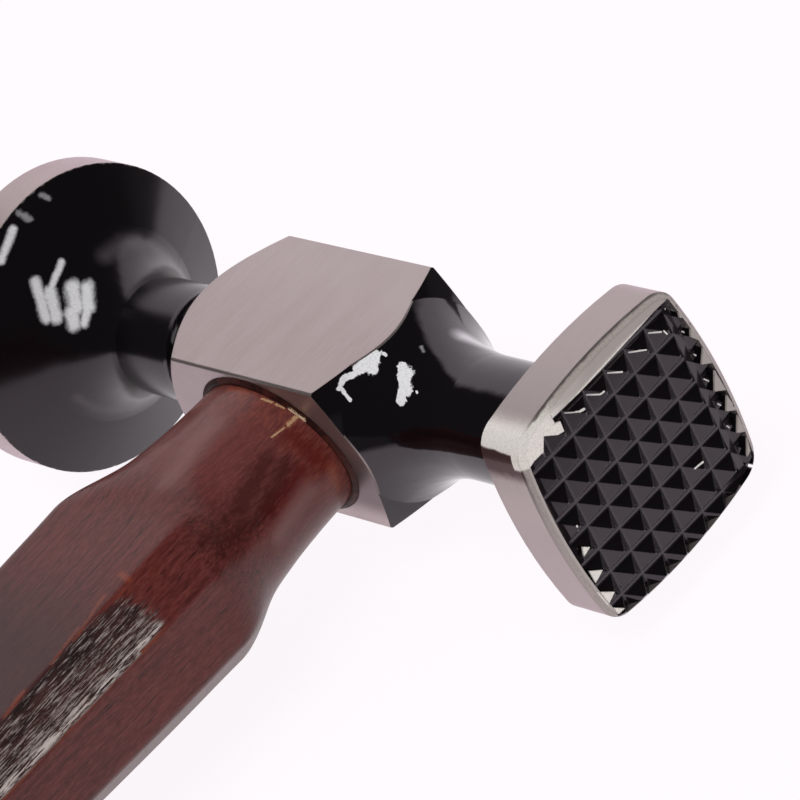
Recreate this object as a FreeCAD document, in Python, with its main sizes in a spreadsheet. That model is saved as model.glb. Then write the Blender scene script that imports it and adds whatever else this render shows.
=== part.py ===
"""A double-faced hammer: round face, serrated square face, eight-sided wooden handle.

It is drawn about the middle of its eye. +X runs along the head to the serrated square face, +Y runs
out of the top of the head, so the handle runs down -Y, and +Z is the side of the cheek that faces up
when the hammer lies on its side. Every sub-part then gets the same placement, which sets the origin
under the middle of the whole hammer, on the surface that it lies on.
"""
import FreeCAD
import Part
import Sketcher
import math
import os
import re

# The driving dimensions, in millimetres, with what each one measures.
SIZES = (
    ("block_width", 25.2, "eye block, cheek to cheek"),
    ("block_height", 26.2, "eye block, top to underside"),
    ("stock_radius", 17.95, "turned stock that the four flats are ground on"),
    ("flat_overrun", 4.0, "how far the grinding runs past the stock"),
    ("disc_radius", 23.0, "round end"),
    ("disc_face_reach", 64.0, "round face from the middle of the eye"),
    ("disc_rim_width", 8.0, "ground band round the disc"),
    ("disc_face_bevel", 1.5, "broken edge of the round face"),
    ("disc_cone_depth", 5.0, "cone on the back of the disc, along the head"),
    ("disc_cone_radius", 14.5, "where that cone turns into the neck's flare"),
    ("disc_flare_length", 11.0, "flare from that cone to the neck"),
    ("neck_radius", 8.6, "both necks"),
    ("neck_disc_reach", 29.0, "where the disc-side neck starts to flare into the block"),
    ("cone_foot_reach", 23.6, "where that flare turns into the block's cone"),
    ("cone_foot_radius", 10.65, "radius of the forging there"),
    ("cone_shoulder_reach", 15.3, "where that cone meets the stock"),
    ("front_shoulder_reach", 15.2, "where the plate-side slope leaves the stock"),
    ("front_slope_reach", 17.3, "where that slope turns into the flare"),
    ("front_slope_radius", 14.1, "radius of the forging there"),
    ("neck_plate_reach", 31.5, "where the plate-side flare ends in the neck"),
    ("plate_flare_radius", 6.0, "arc between the neck and the back of the plate"),
    ("plate_face_reach", 60.9, "serrated face from the middle of the eye"),
    ("plate_thickness", 8.3, "square plate"),
    ("plate_half_width", 17.35, "middle of the plate to its side, across the cheeks"),
    ("plate_half_height", 17.2, "middle of the plate to its side, top to underside"),
    ("plate_side_radius", 77.0, "bow of the plate's sides"),
    ("plate_corner_radius", 4.0, "corners of the plate"),
    ("plate_back_bevel", 0.6, "broken edge at the back of the plate"),
    ("plate_front_bevel", 0.85, "ground bevel round the serrated face"),
    ("rim_end_width", 1.05, "rim left by the grooves that run up the plate, at both their ends"),
    ("rim_side_width", 0.3, "rim left by the others at the lower cheek's side"),
    ("groove_depth", 1.7, "grooves"),
    ("groove_skew", 3.1, "degrees that the grooves are turned from the plate's sides"),
    ("tip_land", 0.25, "flat left on each pyramid"),
    ("upright_pitch", 3.96, "one groove that runs up the plate to the next"),
    ("upright_floor", 0.4, "floor of those grooves"),
    ("upright_inset", 2.65, "first of those grooves from the plate's side at the lower cheek"),
    ("last_inset", 4.33, "last of those grooves from the plate's side at the upper cheek"),
    ("last_run", 9.6, "how far that last groove runs towards the underside"),
    ("level_pitch", 4.18, "one groove that runs from cheek to cheek to the next"),
    ("level_floor", 0.15, "floor of those grooves"),
    ("level_inset", 1.8, "first of those grooves from the plate's side at the underside"),
    ("level_run", 13.6, "how far those grooves run towards the upper cheek"),
    ("wide_floor", 1.1, "floor of the last groove from cheek to cheek"),
    ("wide_inset", 3.3, "that last groove from the plate's top side"),
    ("groove_overrun", 2.0, "how far the cutter runs past the plate"),
    ("eye_mouth_length", 13.84, "eye at the underside, half length along the head"),
    ("eye_mouth_width", 11.18, "eye at the underside, half width across the cheeks"),
    ("eye_waist_length", 13.3, "eye at its narrowest, half length along the head"),
    ("eye_waist_width", 10.75, "eye at its narrowest, half width across the cheeks"),
    ("eye_top_length", 14.1, "eye at the top, half length along the head"),
    ("eye_top_width", 11.3, "eye at the top, half width across the cheeks"),
    ("eye_overrun", 1.0, "how far the eye's cutter runs past the block"),
    ("mouth_chamfer", 0.9, "chamfer round the mouth of the eye"),
    ("eye_clearance", 0.12, "between the tenon and the eye"),
    ("tenon_proud", 0.8, "tenon above the top of the eye"),
    ("turning_margin", 3.0, "how far the turning runs outside the wood"),
    ("butt_bevel", 2.0, "bevel round the end of the handle"),
    ("kerf_gap", 1.4, "saw kerf below the tip of the wooden wedge"),
    ("wedge_depth", 19.0, "wooden wedge, along the handle"),
    ("wedge_length", 12.9, "wooden wedge, half length along the head"),
    ("wedge_head", 3.4, "wooden wedge at its head"),
    ("wedge_tip", 0.9, "wooden wedge at its tip"),
    ("wedge_clearance", 0.1, "round each wedge"),
    ("cross_spacing", 6.4, "each steel wedge from the middle of the eye"),
    ("cross_depth", 14.0, "steel wedge, along the handle"),
    ("cross_width", 7.6, "steel wedge, half width across the cheeks"),
    ("cross_head", 2.4, "steel wedge at its head"),
    ("cross_tip", 0.7, "steel wedge at its tip"),
    ("bead_depth", 0.6, "glue inside the mouth of the eye"),
    ("bead_proud", 0.5, "glue below the underside"),
    ("bead_lip", 0.35, "width of the bead at its outer end"),
    ("bead_clearance", 0.06, "round the glue bead"),
)

# Stations of the eight-sided handle: each one's distance below the head's axis, its half length along
# the head, its half width across the cheeks, and the leg of its corner bevels. The shoulder's stations
# come first, then the body's, which start at the last of the shoulder's.
SHOULDER = (
    ("throat", 26.0, 17.0, 13.4, 5.5),
    ("slope", 32.0, 17.6, 12.4, 5.6),
    ("breast", 38.0, 17.9, 11.5, 5.6),
    ("shoulder", 44.0, 17.8, 11.25, 5.6),
    ("body", 50.0, 17.7, 11.1, 5.5),
)
BODY = (
    ("upper_body", 80.0, 16.8, 10.1, 4.9),
    ("middle_body", 110.0, 16.3, 9.9, 4.8),
    ("waist", 140.0, 16.0, 9.9, 4.8),
    ("lower_waist", 180.0, 16.4, 10.4, 5.0),
    ("grip", 220.0, 17.2, 11.1, 5.3),
    ("lower_grip", 260.0, 17.5, 11.4, 5.4),
    ("butt", 298.0, 16.8, 11.0, 5.2),
)

# Ovals of the turned neck: each one's distance below the head's axis and its two half sizes.
TURNED = (
    ("neck", 20.0, 13.65, 11.45),
    ("neck_end", 26.0, 14.1, 11.95),
    ("swell", 32.0, 15.2, 12.9),
    ("flank", 38.0, 18.2, 15.4),
    ("turning_end", 44.0, 23.0, 19.5),
)

# Sketcher's numbers for the points of a curve, and for a sketch's own axes, the first of which also
# holds its origin.
START, END, CENTRE = range(1, 4)
LEVEL_AXIS, UPRIGHT_AXIS = range(-1, -3, -1)

doc = FreeCAD.newDocument("Hammer")
sheet = doc.addObject("Spreadsheet::Sheet", "Sizes")
size = {}


def add_size(alias, value, note):
    """One driving dimension: its note, its value and its alias in the next row of the sheet."""
    size[alias] = value
    row = len(size)
    sheet.set(f"A{row}", note)
    sheet.set(f"B{row}", str(value))
    sheet.setAlias(f"B{row}", alias)


def named(text):
    """A sum of sizes as an expression on the sheet."""
    return re.sub("[a-z_]+", lambda word: "Sizes." + word.group(), text)


def total(text):
    """The same sum as a number. A size in it can be halved."""
    result = 0
    for term in text.replace("- ", "+ -").split("+"):
        word, _, share = term.strip().partition(" / ")
        if word:
            sign = -1 if word.startswith("-") else 1
            result += sign * size[word.lstrip("-")] / float(share or 1)
    return result


def new(kind, name, **bound):
    """A document object with properties that follow sizes of the sheet."""
    thing = doc.addObject(kind, name)
    for prop, text in bound.items():
        thing.setExpression(prop, named(text))
    return thing


def across_handle(thing, height):
    """Lays a flat outline square to the handle: its x along the head, its y towards the cheek."""
    thing.Placement.Rotation = FreeCAD.Rotation(FreeCAD.Vector(1, 0, 0), 90)
    if height:
        thing.setExpression("Placement.Base.y", named(height))
    return thing


def origin_part(body, role):
    """One of a body's own origin planes or axes."""
    return next(part for part in body.Origin.OriginFeatures if part.Role == role)


def new_sketch(body, name, role):
    """A sketch on one of its body's own origin planes."""
    sketch = body.newObject("Sketcher::SketchObject", name)
    sketch.AttachmentSupport = [(origin_part(body, role), "")]
    sketch.MapMode = "FlatFace"
    return sketch


def hold(sketch, text, kind, *places):
    """A dimension in a sketch that follows sizes of the sheet."""
    index = sketch.addConstraint(Sketcher.Constraint(kind, *places, total(text)))
    sketch.setExpression(f"Constraints[{index}]", named(text))


def put(sketch, geometry, point, place):
    """Holds a point of a sketch at a place given as two sums of sizes, an empty one being zero."""
    for text, kind, axis in zip(place, ("DistanceX", "DistanceY"), (UPRIGHT_AXIS, LEVEL_AXIS)):
        if text:
            hold(sketch, text, kind, LEVEL_AXIS, START, geometry, point)
        else:
            sketch.addConstraint(Sketcher.Constraint("PointOnObject", geometry, point, axis))


def at(x, y):
    return FreeCAD.Vector(x, y, 0)


def closed_outline(sketch, places, arcs=()):
    """A closed outline from place to place.

    Stretches are straight, or arcs whose centre stands straight above the start or the end that arcs
    names. Places are two sums of sizes each.
    """
    first = sketch.GeometryCount
    corners = [(total(x), total(y)) for x, y in places]
    count = len(corners)
    for index, start in enumerate(corners):
        stop = corners[(index + 1) % count]
        if index not in arcs:
            sketch.addGeometry(Part.LineSegment(at(*start), at(*stop)))
            continue
        low, high = (start, stop) if arcs[index] == START else (stop, start)
        radius = math.dist(low, high) ** 2 / (2 * (high[1] - low[1]))
        centre = (low[0], low[1] + radius)
        turns = [math.atan2(y - centre[1], x - centre[0]) for x, y in (start, stop)]
        circle = Part.Circle(at(*centre), FreeCAD.Vector(0, 0, 1), radius)
        sketch.addGeometry(Part.ArcOfCircle(circle, *turns))
    for index in range(count):
        after = (index + 1) % count
        join = Sketcher.Constraint("Coincident", first + index, END, first + after, START)
        sketch.addConstraint(join)
        put(sketch, first + index, START, places[index])
    for index, foot in dict(arcs).items():
        arc = first + index
        sketch.addConstraint(Sketcher.Constraint("Vertical", arc, CENTRE, arc, foot))


def turned_forging(body):
    """Disc, necks, cones, flares and round stock, turned about the head's axis."""
    sketch = new_sketch(body, "forging_profile", "XY_Plane")
    rim_back = "- disc_face_reach + disc_rim_width"
    cone_end = rim_back + " + disc_cone_depth"
    plate_back = "plate_face_reach - plate_thickness"
    plate_middle = "plate_face_reach - plate_thickness / 2"
    flare_top = "neck_radius + plate_flare_radius"
    places = (
        ("- disc_face_reach", ""),
        ("- disc_face_reach", "disc_radius - disc_face_bevel"),
        ("- disc_face_reach + disc_face_bevel", "disc_radius"),
        (rim_back, "disc_radius"),
        (cone_end, "disc_cone_radius"),
        (cone_end + " + disc_flare_length", "neck_radius"),
        ("- neck_disc_reach", "neck_radius"),
        ("- cone_foot_reach", "cone_foot_radius"),
        ("- cone_shoulder_reach", "stock_radius"),
        ("front_shoulder_reach", "stock_radius"),
        ("front_slope_reach", "front_slope_radius"),
        ("neck_plate_reach", "neck_radius"),
        (plate_back + " - plate_flare_radius", "neck_radius"),
        (plate_back, flare_top),
        (plate_middle, flare_top),
        (plate_middle, ""),
    )
    closed_outline(sketch, places, {4: END, 6: START, 10: END, 12: START})
    turned = body.newObject("PartDesign::Revolution", "turned_forging")
    turned.Profile = sketch
    turned.ReferenceAxis = (sketch, ["H_Axis"])
    turned.Angle = 360
    return turned


def ground_flats(body):
    """The eye block's top, underside and two cheeks, ground on the round stock."""
    sketch = new_sketch(body, "flats_outline", "YZ_Plane")
    for high, wide in (("block_height / 2", "block_width / 2"), ("stock_radius + flat_overrun",) * 2):
        low, narrow = ("- " + text.replace("+", "-") for text in (high, wide))
        closed_outline(sketch, ((high, wide), (low, wide), (low, narrow), (high, narrow)))
    flats = body.newObject("PartDesign::Pocket", "ground_flats")
    flats.Profile = sketch
    flats.SideType = "Symmetric"
    flats.setExpression("Length", named("neck_disc_reach * 2"))
    return flats


def bowed_square(body, name, high, wide):
    """A square outline with bowed sides, square to the head, its two half sizes given as sums of sizes."""
    sketch = new_sketch(body, name, "YZ_Plane")
    bow = size["plate_side_radius"]
    halves = (high, wide)
    shifts = [bow - total(half) for half in halves]
    # The corner where two neighbouring bows cross lies at the same angle seen from both their centres.
    apart = math.hypot(*shifts)
    rise = math.sqrt(bow ** 2 - apart ** 2 / 4)
    corner = [shifts[1 - axis] * rise / apart - shifts[axis] / 2 for axis in (0, 1)]
    for turn in range(4):
        axis, sign = turn % 2, 1 if turn < 2 else -1
        centre = [0, 0]
        centre[axis] = -sign * shifts[axis]
        lean = math.atan2(corner[1 - axis], corner[axis] + shifts[axis])
        middle = turn * math.pi / 2
        circle = Part.Circle(at(*centre), FreeCAD.Vector(0, 0, 1), bow)
        sketch.addGeometry(Part.ArcOfCircle(circle, middle - lean, middle + lean))
    for turn in range(4):
        sketch.addConstraint(Sketcher.Constraint("Coincident", turn, END, (turn + 1) % 4, START))
        hold(sketch, "plate_side_radius", "Radius", turn)
        half = halves[turn % 2]
        shift = f"{half} - plate_side_radius" if turn < 2 else f"{opposite(half)} + plate_side_radius"
        put(sketch, turn, CENTRE, [shift, ""] if turn % 2 == 0 else ["", shift])
    return sketch


def square_plate(body, name, thickness):
    """A square plate with bowed sides and rounded corners, up to the serrated face."""
    sketch = bowed_square(body, f"{name}_outline", "plate_half_height", "plate_half_width")
    sketch.setExpression("AttachmentOffset.Base.z", named(f"plate_face_reach - {thickness}"))
    plate = body.newObject("PartDesign::Pad", name)
    plate.Profile = sketch
    plate.setExpression("Length", named(thickness))
    doc.recompute()
    back = total(f"plate_face_reach - {thickness}")
    straight = edges_where(plate, lambda edge: isinstance(edge.Curve, Part.Line)
                           and edge.BoundBox.XMin > back - size["tip_land"]
                           and edge.BoundBox.XLength > size[thickness] / 2)
    rounded = body.newObject("PartDesign::Fillet", f"{name}_corners")
    rounded.Base = (plate, straight)
    rounded.setExpression("Radius", named("plate_corner_radius"))
    doc.recompute()
    return rounded


def bevelled(body, name, feature, reach, bevel, test=lambda edge: True):
    """The same body with its outline's edges at one distance along the head bevelled."""
    outline = edges_where(feature, lambda edge: at_reach(edge, reach) and test(edge))
    result = body.newObject("PartDesign::Chamfer", name)
    result.Base = (feature, outline)
    result.setExpression("Size", named(bevel))
    doc.recompute()
    return result


def edges_where(feature, test):
    """The names of a feature's edges that pass a test."""
    edges = enumerate(feature.Shape.Edges, start=1)
    return [f"Edge{index}" for index, edge in edges if test(edge)]


def at_reach(edge, reach):
    """Whether an edge lies square to the head's axis at one distance along it."""
    box = edge.BoundBox
    slack = size["tip_land"] / 100
    return abs(box.XMin - reach) < slack and abs(box.XMax - reach) < slack


def plate_on_forging(body):
    """The square plate on its flare, with its back and front edges broken."""
    plate = square_plate(body, "square_plate", "plate_thickness")
    flare_top = size["neck_radius"] + size["plate_flare_radius"]
    back = size["plate_face_reach"] - size["plate_thickness"]
    broken = bevelled(body, "plate_back_edge", plate, back, "plate_back_bevel",
                      lambda edge: not (isinstance(edge.Curve, Part.Circle)
                                        and abs(edge.Curve.Radius - flare_top) < size["tip_land"]))
    bevelled(body, "plate_front_edge", broken, size["plate_face_reach"], "plate_front_bevel")


def face_rim():
    """The rim that the grooves leave uncut, as high as they are deep."""
    body = doc.addObject("PartDesign::Body", "face_rim")
    plate = square_plate(body, "rim_plate", "groove_depth")
    bevelled(body, "rim_front_edge", plate, size["plate_face_reach"], "plate_front_bevel")
    inside = body.newObject("PartDesign::Pocket", "rim_inside")
    inside.Profile = bowed_square(body, "rim_inside_outline", "plate_half_height - rim_end_width",
                                  "plate_half_width - rim_side_width")
    inside.SideType = "Symmetric"
    inside.setExpression("Length", named("(plate_face_reach + groove_overrun) * 2"))
    return body


def groove(body, name, plane, middle, floor, pitch, behind, ahead):
    """One groove across the serrated face, a length behind its sketch and a length ahead of it.

    Its sides leave half a land on each side of its pitch.
    """
    sketch = new_sketch(body, f"{name}_profile", plane)
    turn = FreeCAD.Rotation(FreeCAD.Vector(1, 0, 0), -size["groove_skew"])
    sketch.AttachmentOffset = FreeCAD.Placement(FreeCAD.Vector(), turn)
    sketch.setExpression("AttachmentOffset.Rotation.Angle", named("- groove_skew"))
    sketch.setExpression("AttachmentOffset.Base.z", named(f"({ahead}) / 2 - ({behind}) / 2"))
    face, outside = "plate_face_reach", "plate_face_reach + groove_overrun"
    bottom = "plate_face_reach - groove_depth"
    half_floor, half_mouth = f"{floor} / 2", f"{pitch} / 2 - tip_land / 2"
    closed_outline(sketch, (
        (bottom, f"{middle} - {half_floor}"),
        (face, f"{middle} - {pitch} / 2 + tip_land / 2"),
        (outside, f"{middle} - {pitch} / 2 + tip_land / 2"),
        (outside, f"{middle} + {half_mouth}"),
        (face, f"{middle} + {half_mouth}"),
        (bottom, f"{middle} + {half_floor}"),
    ))
    cutter = body.newObject("PartDesign::Pocket", name)
    cutter.Profile = sketch
    cutter.SideType = "Symmetric"
    cutter.setExpression("Length", named(f"{behind} + {ahead}"))
    return cutter


def row_of_grooves(body, cutter, pitch, count):
    """The same groove again and again, a pitch apart, square to its run."""
    pattern = body.newObject("PartDesign::LinearPattern", f"{cutter.Name}_row")
    pattern.Originals = [cutter]
    pattern.Direction = (cutter.Profile[0], ["V_Axis"])
    pattern.Mode = "Spacing"
    pattern.setExpression("Offset", named(pitch))
    pattern.Occurrences = count
    body.Tip = pattern


def serrations(body):
    """Two sets of grooves that leave rows of pyramids, the last groove of each with its own shape."""
    height, width = 2 * size["plate_half_height"], 2 * size["plate_half_width"]
    level_room = height - size["level_inset"] - size["wide_inset"]
    upright_room = width - size["upright_inset"] - size["last_inset"]
    across = ("plate_half_width + groove_overrun", "level_run")
    level = groove(body, "level_groove", "XY_Plane", "level_inset - plate_half_height",
                   "level_floor", "level_pitch", *across)
    row_of_grooves(body, level, "level_pitch", math.ceil(level_room / size["level_pitch"] - 1 / 2))
    groove(body, "wide_groove", "XY_Plane", "plate_half_height - wide_inset",
           "wide_floor", "level_pitch", *across)
    past_top = "plate_half_height + groove_overrun"
    upright = groove(body, "upright_groove", "XZ_Plane", "upright_inset - plate_half_width",
                     "upright_floor", "upright_pitch", past_top, past_top)
    row_of_grooves(body, upright, "upright_pitch", math.ceil(upright_room / size["upright_pitch"] - 1 / 2))
    groove(body, "last_upright_groove", "XZ_Plane", "plate_half_width - last_inset",
           "upright_floor", "upright_pitch", past_top, "last_run")


def oval(name, height, length, width):
    """An oval outline square to the handle."""
    return across_handle(new("Part::Ellipse", name, MajorRadius=length, MinorRadius=width), height)


def loft(name, sections, ruled=False):
    """A solid through closed outlines."""
    body = doc.addObject("Part::Loft", name)
    body.Sections = sections
    body.Solid = True
    body.Ruled = ruled
    return body


def cut(name, base, *tools):
    """One solid less others."""
    body = doc.addObject("Part::Cut", name)
    body.Base = base
    body.Tool = tools[0] if len(tools) == 1 else joined(f"{name}_tools", *tools)
    return body


def joined(name, *solids):
    body = doc.addObject("Part::MultiFuse", name)
    body.Shapes = solids
    return body


def eye_cutter():
    """The oval eye, waisted in the middle, with a chamfer round its mouth."""
    under = "- block_height / 2"
    eye = loft("eye", [
        oval("eye_below", under + " - eye_overrun", "eye_mouth_length", "eye_mouth_width"),
        oval("eye_waist", "", "eye_waist_length", "eye_waist_width"),
        oval("eye_above", "block_height / 2 + eye_overrun", "eye_top_length", "eye_top_width"),
    ])
    mouth = loft("eye_mouth", [
        oval("mouth_inside", under + " + mouth_chamfer", "eye_mouth_length", "eye_mouth_width"),
        oval("mouth_outside", under + " - eye_overrun",
             "eye_mouth_length + mouth_chamfer + eye_overrun",
             "eye_mouth_width + mouth_chamfer + eye_overrun"),
    ], ruled=True)
    return joined("eye_cutter", eye, mouth)


def hammer_head():
    """The forging, its ground block and plate, its serrations and its eye."""
    body = doc.addObject("PartDesign::Body", "forging")
    turned_forging(body)
    ground_flats(body)
    plate_on_forging(body)
    serrations(body)
    return cut("hammer_head", joined("serrated_forging", body, face_rim()), eye_cutter())


def eight_sided(name, height, length, width, leg):
    """An eight-sided outline square to the handle: an oblong with its corners bevelled."""
    sketch = doc.addObject("Sketcher::SketchObject", name)
    inner_length, inner_width = f"{length} - {leg}", f"{width} - {leg}"
    quarter = ((length, inner_width), (inner_length, width))
    places = []
    for flip_x, flip_y, order in ((False, False, 1), (True, False, -1), (True, True, 1), (False, True, -1)):
        for x, y in quarter[::order]:
            places.append((opposite(x) if flip_x else x, opposite(y) if flip_y else y))
    closed_outline(sketch, places)
    return across_handle(sketch, height)


def opposite(text):
    """A sum of sizes with every sign turned round."""
    turned = text.replace("- ", "~ ").replace("+ ", "- ").replace("~ ", "+ ")
    return turned[2:] if turned.startswith("+ ") else "- " + turned


def eight_sided_stick():
    """The handle's eight-sided stock from the top of its tenon to its bevelled end."""
    outlines = [
        eight_sided(f"{name}_outline", f"- {name}_reach", f"{name}_length", f"{name}_width", f"{name}_leg")
        for name, *_ in SHOULDER + BODY
    ]
    shoulder, body = outlines[:len(SHOULDER)], outlines[len(SHOULDER) - 1:]
    crown = eight_sided("crown_outline", "block_height / 2 + tenon_proud",
                        "throat_length + turning_margin", "throat_width + turning_margin", "throat_leg")
    foot = eight_sided("foot_outline", "- butt_reach - butt_bevel",
                       "butt_length - butt_bevel", "butt_width - butt_bevel", "butt_leg")
    return joined("stick", loft("stick_crown", [crown, shoulder[0]], ruled=True),
                  loft("stick_shoulder", shoulder), loft("stick_body", body),
                  loft("stick_foot", [body[-1], foot], ruled=True))


def turned_neck():
    """The oval tenon, which follows the eye, and the oval neck that swells out below it."""
    under = "- block_height / 2 - eye_overrun"
    mouth = ("eye_mouth_length - eye_clearance", "eye_mouth_width - eye_clearance")
    tenon = loft("tenon", [
        oval("tenon_below", under, *mouth),
        oval("tenon_waist", "", "eye_waist_length - eye_clearance", "eye_waist_width - eye_clearance"),
        oval("tenon_above", "block_height / 2 + eye_overrun",
             "eye_top_length - eye_clearance", "eye_top_width - eye_clearance"),
    ])
    ovals = [oval("neck_start", under, *mouth)]
    for name, *_ in TURNED:
        ovals.append(oval(f"{name}_oval", f"- {name}_reach", f"{name}_oval_length", f"{name}_oval_width"))
    return joined("turned_neck", tenon, loft("neck_swell", ovals))


def handle_blank():
    """The eight-sided stick with its neck and tenon turned oval."""
    length, width = ("turning_end_oval_length", "turning_end_oval_width")
    stock = new("Part::Box", "turned_stock",
                Length=f"({length} + turning_margin) * 2",
                Width="turning_end_reach + block_height / 2 + tenon_proud",
                Height=f"({width} + turning_margin) * 2")
    stock.setExpression("Placement.Base.x", named(f"- {length} - turning_margin"))
    stock.setExpression("Placement.Base.y", named("- turning_end_reach"))
    stock.setExpression("Placement.Base.z", named(f"- {width} - turning_margin"))
    return cut("handle_blank", eight_sided_stick(), cut("turned_waste", stock, turned_neck()))


def wedge(name, low, high, length, foot, head, spacing="", along=True):
    """A flat wedge that points down the handle, its broad sides along the head or square to it."""
    solid = new("Part::Wedge", name, Ymin=low, Ymax=high)
    broad, thin = ("X", "Z") if along else ("Z", "X")
    for end, thickness in (("", foot), ("2", head)):
        solid.setExpression(f"{broad}{end}min", named(f"- ({length})"))
        solid.setExpression(f"{broad}{end}max", named(length))
        solid.setExpression(f"{thin}{end}min", named(f"- ({thickness}) / 2"))
        solid.setExpression(f"{thin}{end}max", named(f"({thickness}) / 2"))
    if spacing:
        solid.setExpression("Placement.Base.x", named(spacing))
    return solid


def cross_wedges(name, clearance=""):
    """The two steel wedges, or with a clearance the slots that they are driven into."""
    top = "block_height / 2 + tenon_proud"
    room = f" + {clearance}" if clearance else ""
    gap = f" - {clearance}" if clearance else ""
    double = f" + {clearance} * 2" if clearance else ""
    return [
        wedge(f"{name}_{side}", f"{top} - cross_depth{gap}", top, "cross_width" + room,
              "cross_tip" + double, "cross_head" + double, spacing, along=False)
        for side, spacing in (("disc_side", "- cross_spacing"), ("plate_side", "cross_spacing"))
    ]


def handle_and_wedges():
    """The handle with its kerf and slots, the wooden wedge and the two steel wedges."""
    top = "block_height / 2 + tenon_proud"
    slots = joined("slots", *cross_wedges("slot", "wedge_clearance"))
    kerf = wedge("kerf", f"{top} - wedge_depth - kerf_gap", top, "eye_top_length + turning_margin",
                 "wedge_tip + wedge_clearance * 2", "wedge_head + wedge_clearance * 2")
    handle = cut("handle", handle_blank(), kerf, slots)
    blank = wedge("wedge_blank", f"{top} - wedge_depth", top, "wedge_length", "wedge_tip", "wedge_head")
    return [handle, cut("wooden_wedge", blank, slots), *cross_wedges("steel_wedge")]


def glue_bead():
    """The bead of glue that fills the chamfer at the mouth of the eye."""
    under = "- block_height / 2"
    inside, outside = under + " + bead_depth", under + " - bead_proud"
    depth = "mouth_chamfer - bead_depth - bead_clearance"
    skin = "eye_clearance + bead_clearance"
    outer = loft("bead_outside", [
        oval("bead_top", inside, f"eye_mouth_length + {depth}", f"eye_mouth_width + {depth}"),
        oval("bead_middle", under, "eye_mouth_length + mouth_chamfer - bead_clearance",
             "eye_mouth_width + mouth_chamfer - bead_clearance"),
        oval("bead_end", outside, f"eye_mouth_length - {skin} + bead_lip", f"eye_mouth_width - {skin} + bead_lip"),
    ], ruled=True)
    inner = loft("bead_inside", [
        oval("bead_bore_top", inside + " + bead_depth", "eye_mouth_length - eye_clearance + bead_clearance",
             "eye_mouth_width - eye_clearance + bead_clearance"),
        oval("bead_bore_end", outside + " - bead_depth", "eye_mouth_length - eye_clearance + bead_clearance",
             "eye_mouth_width - eye_clearance + bead_clearance"),
    ], ruled=True)
    return cut("eye_glue_bead", outer, inner)


def set_down(part):
    """Gives a sub-part its place in the hammer's own frame."""
    shifts = {
        "x": "disc_face_reach / 2 - plate_face_reach / 2",
        "y": "butt_reach / 2 + butt_bevel / 2 - disc_radius / 2",
        "z": "disc_radius",
    }
    shift = FreeCAD.Vector(*(total(text) for text in shifts.values()))
    part.Placement.Base = part.Placement.Base + shift
    for axis, text in shifts.items():
        own = dict(part.ExpressionEngine).get(f".Placement.Base.{axis}")
        sum_text = named(text) if own is None else f"{own} + {named(text)}"
        part.setExpression(f"Placement.Base.{axis}", sum_text)


def check_and_write(parts):
    """Stops on any failed object or solid, then writes one file for each sub-part."""
    failed = [thing.Name for thing in doc.Objects if {"Invalid", "Error"} & set(thing.State)]
    if failed:
        raise RuntimeError(f"failed objects: {failed}")
    os.makedirs("parts", exist_ok=True)
    for part in parts:
        shape = part.Shape
        if shape.isNull() or not shape.isValid() or not shape.Solids:
            raise RuntimeError(f"bad shape: {part.Label}")
        box = shape.BoundBox
        print(part.Label, len(shape.Solids), "solid", round(shape.Volume), "mm3",
              "x", round(box.XMin, 2), round(box.XMax, 2), "y", round(box.YMin, 2), round(box.YMax, 2),
              "z", round(box.ZMin, 2), round(box.ZMax, 2))
    for part in parts:
        part.Shape.exportStep(f"parts/{part.Label}.step")


def main():
    for alias, value, note in SIZES:
        add_size(alias, value, note)
    for name, reach, length, width, leg in SHOULDER + BODY:
        add_size(f"{name}_reach", reach, f"{name} of the handle, below the head's axis")
        add_size(f"{name}_length", length, f"{name}, half length along the head")
        add_size(f"{name}_width", width, f"{name}, half width across the cheeks")
        add_size(f"{name}_leg", leg, f"{name}, leg of the corner bevels")
    for name, reach, length, width in TURNED:
        add_size(f"{name}_reach", reach, f"{name} oval, below the head's axis")
        add_size(f"{name}_oval_length", length, f"{name} oval, half length along the head")
        add_size(f"{name}_oval_width", width, f"{name} oval, half width across the cheeks")
    doc.recompute()
    parts = [hammer_head(), *handle_and_wedges(), glue_bead()]
    doc.recompute()
    for part in parts:
        set_down(part)
    doc.recompute()
    check_and_write(parts)


main()
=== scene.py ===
"""Looks of a double-faced hammer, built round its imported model.

Everything is in metres in the model's own frame. Sizes in millimetres are taken about the middle of
the head's eye, as in the part's source: x along the head to the serrated face, y out of the top of the
head, z square to the upper cheek. A pair of numbers for a mask is where it is zero and where it is one.
"""
import math
from types import SimpleNamespace

import bmesh
import bpy
import numpy as np
from mathutils import Matrix, Vector


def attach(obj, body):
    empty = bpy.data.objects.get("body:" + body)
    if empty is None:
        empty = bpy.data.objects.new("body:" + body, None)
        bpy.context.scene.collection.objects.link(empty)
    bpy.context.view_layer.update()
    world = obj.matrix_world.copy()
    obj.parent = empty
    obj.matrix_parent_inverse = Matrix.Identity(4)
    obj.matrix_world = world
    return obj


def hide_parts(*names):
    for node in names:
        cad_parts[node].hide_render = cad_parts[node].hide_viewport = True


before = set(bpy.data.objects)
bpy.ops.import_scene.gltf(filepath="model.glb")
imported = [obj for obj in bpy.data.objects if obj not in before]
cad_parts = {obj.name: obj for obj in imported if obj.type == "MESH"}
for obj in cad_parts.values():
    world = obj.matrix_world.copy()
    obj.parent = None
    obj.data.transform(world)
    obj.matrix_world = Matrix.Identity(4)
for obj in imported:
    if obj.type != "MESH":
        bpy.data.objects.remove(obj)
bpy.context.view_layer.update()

MM = 0.001
EYE_MIDDLE = (1.55, 138.5, 23.0)

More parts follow.
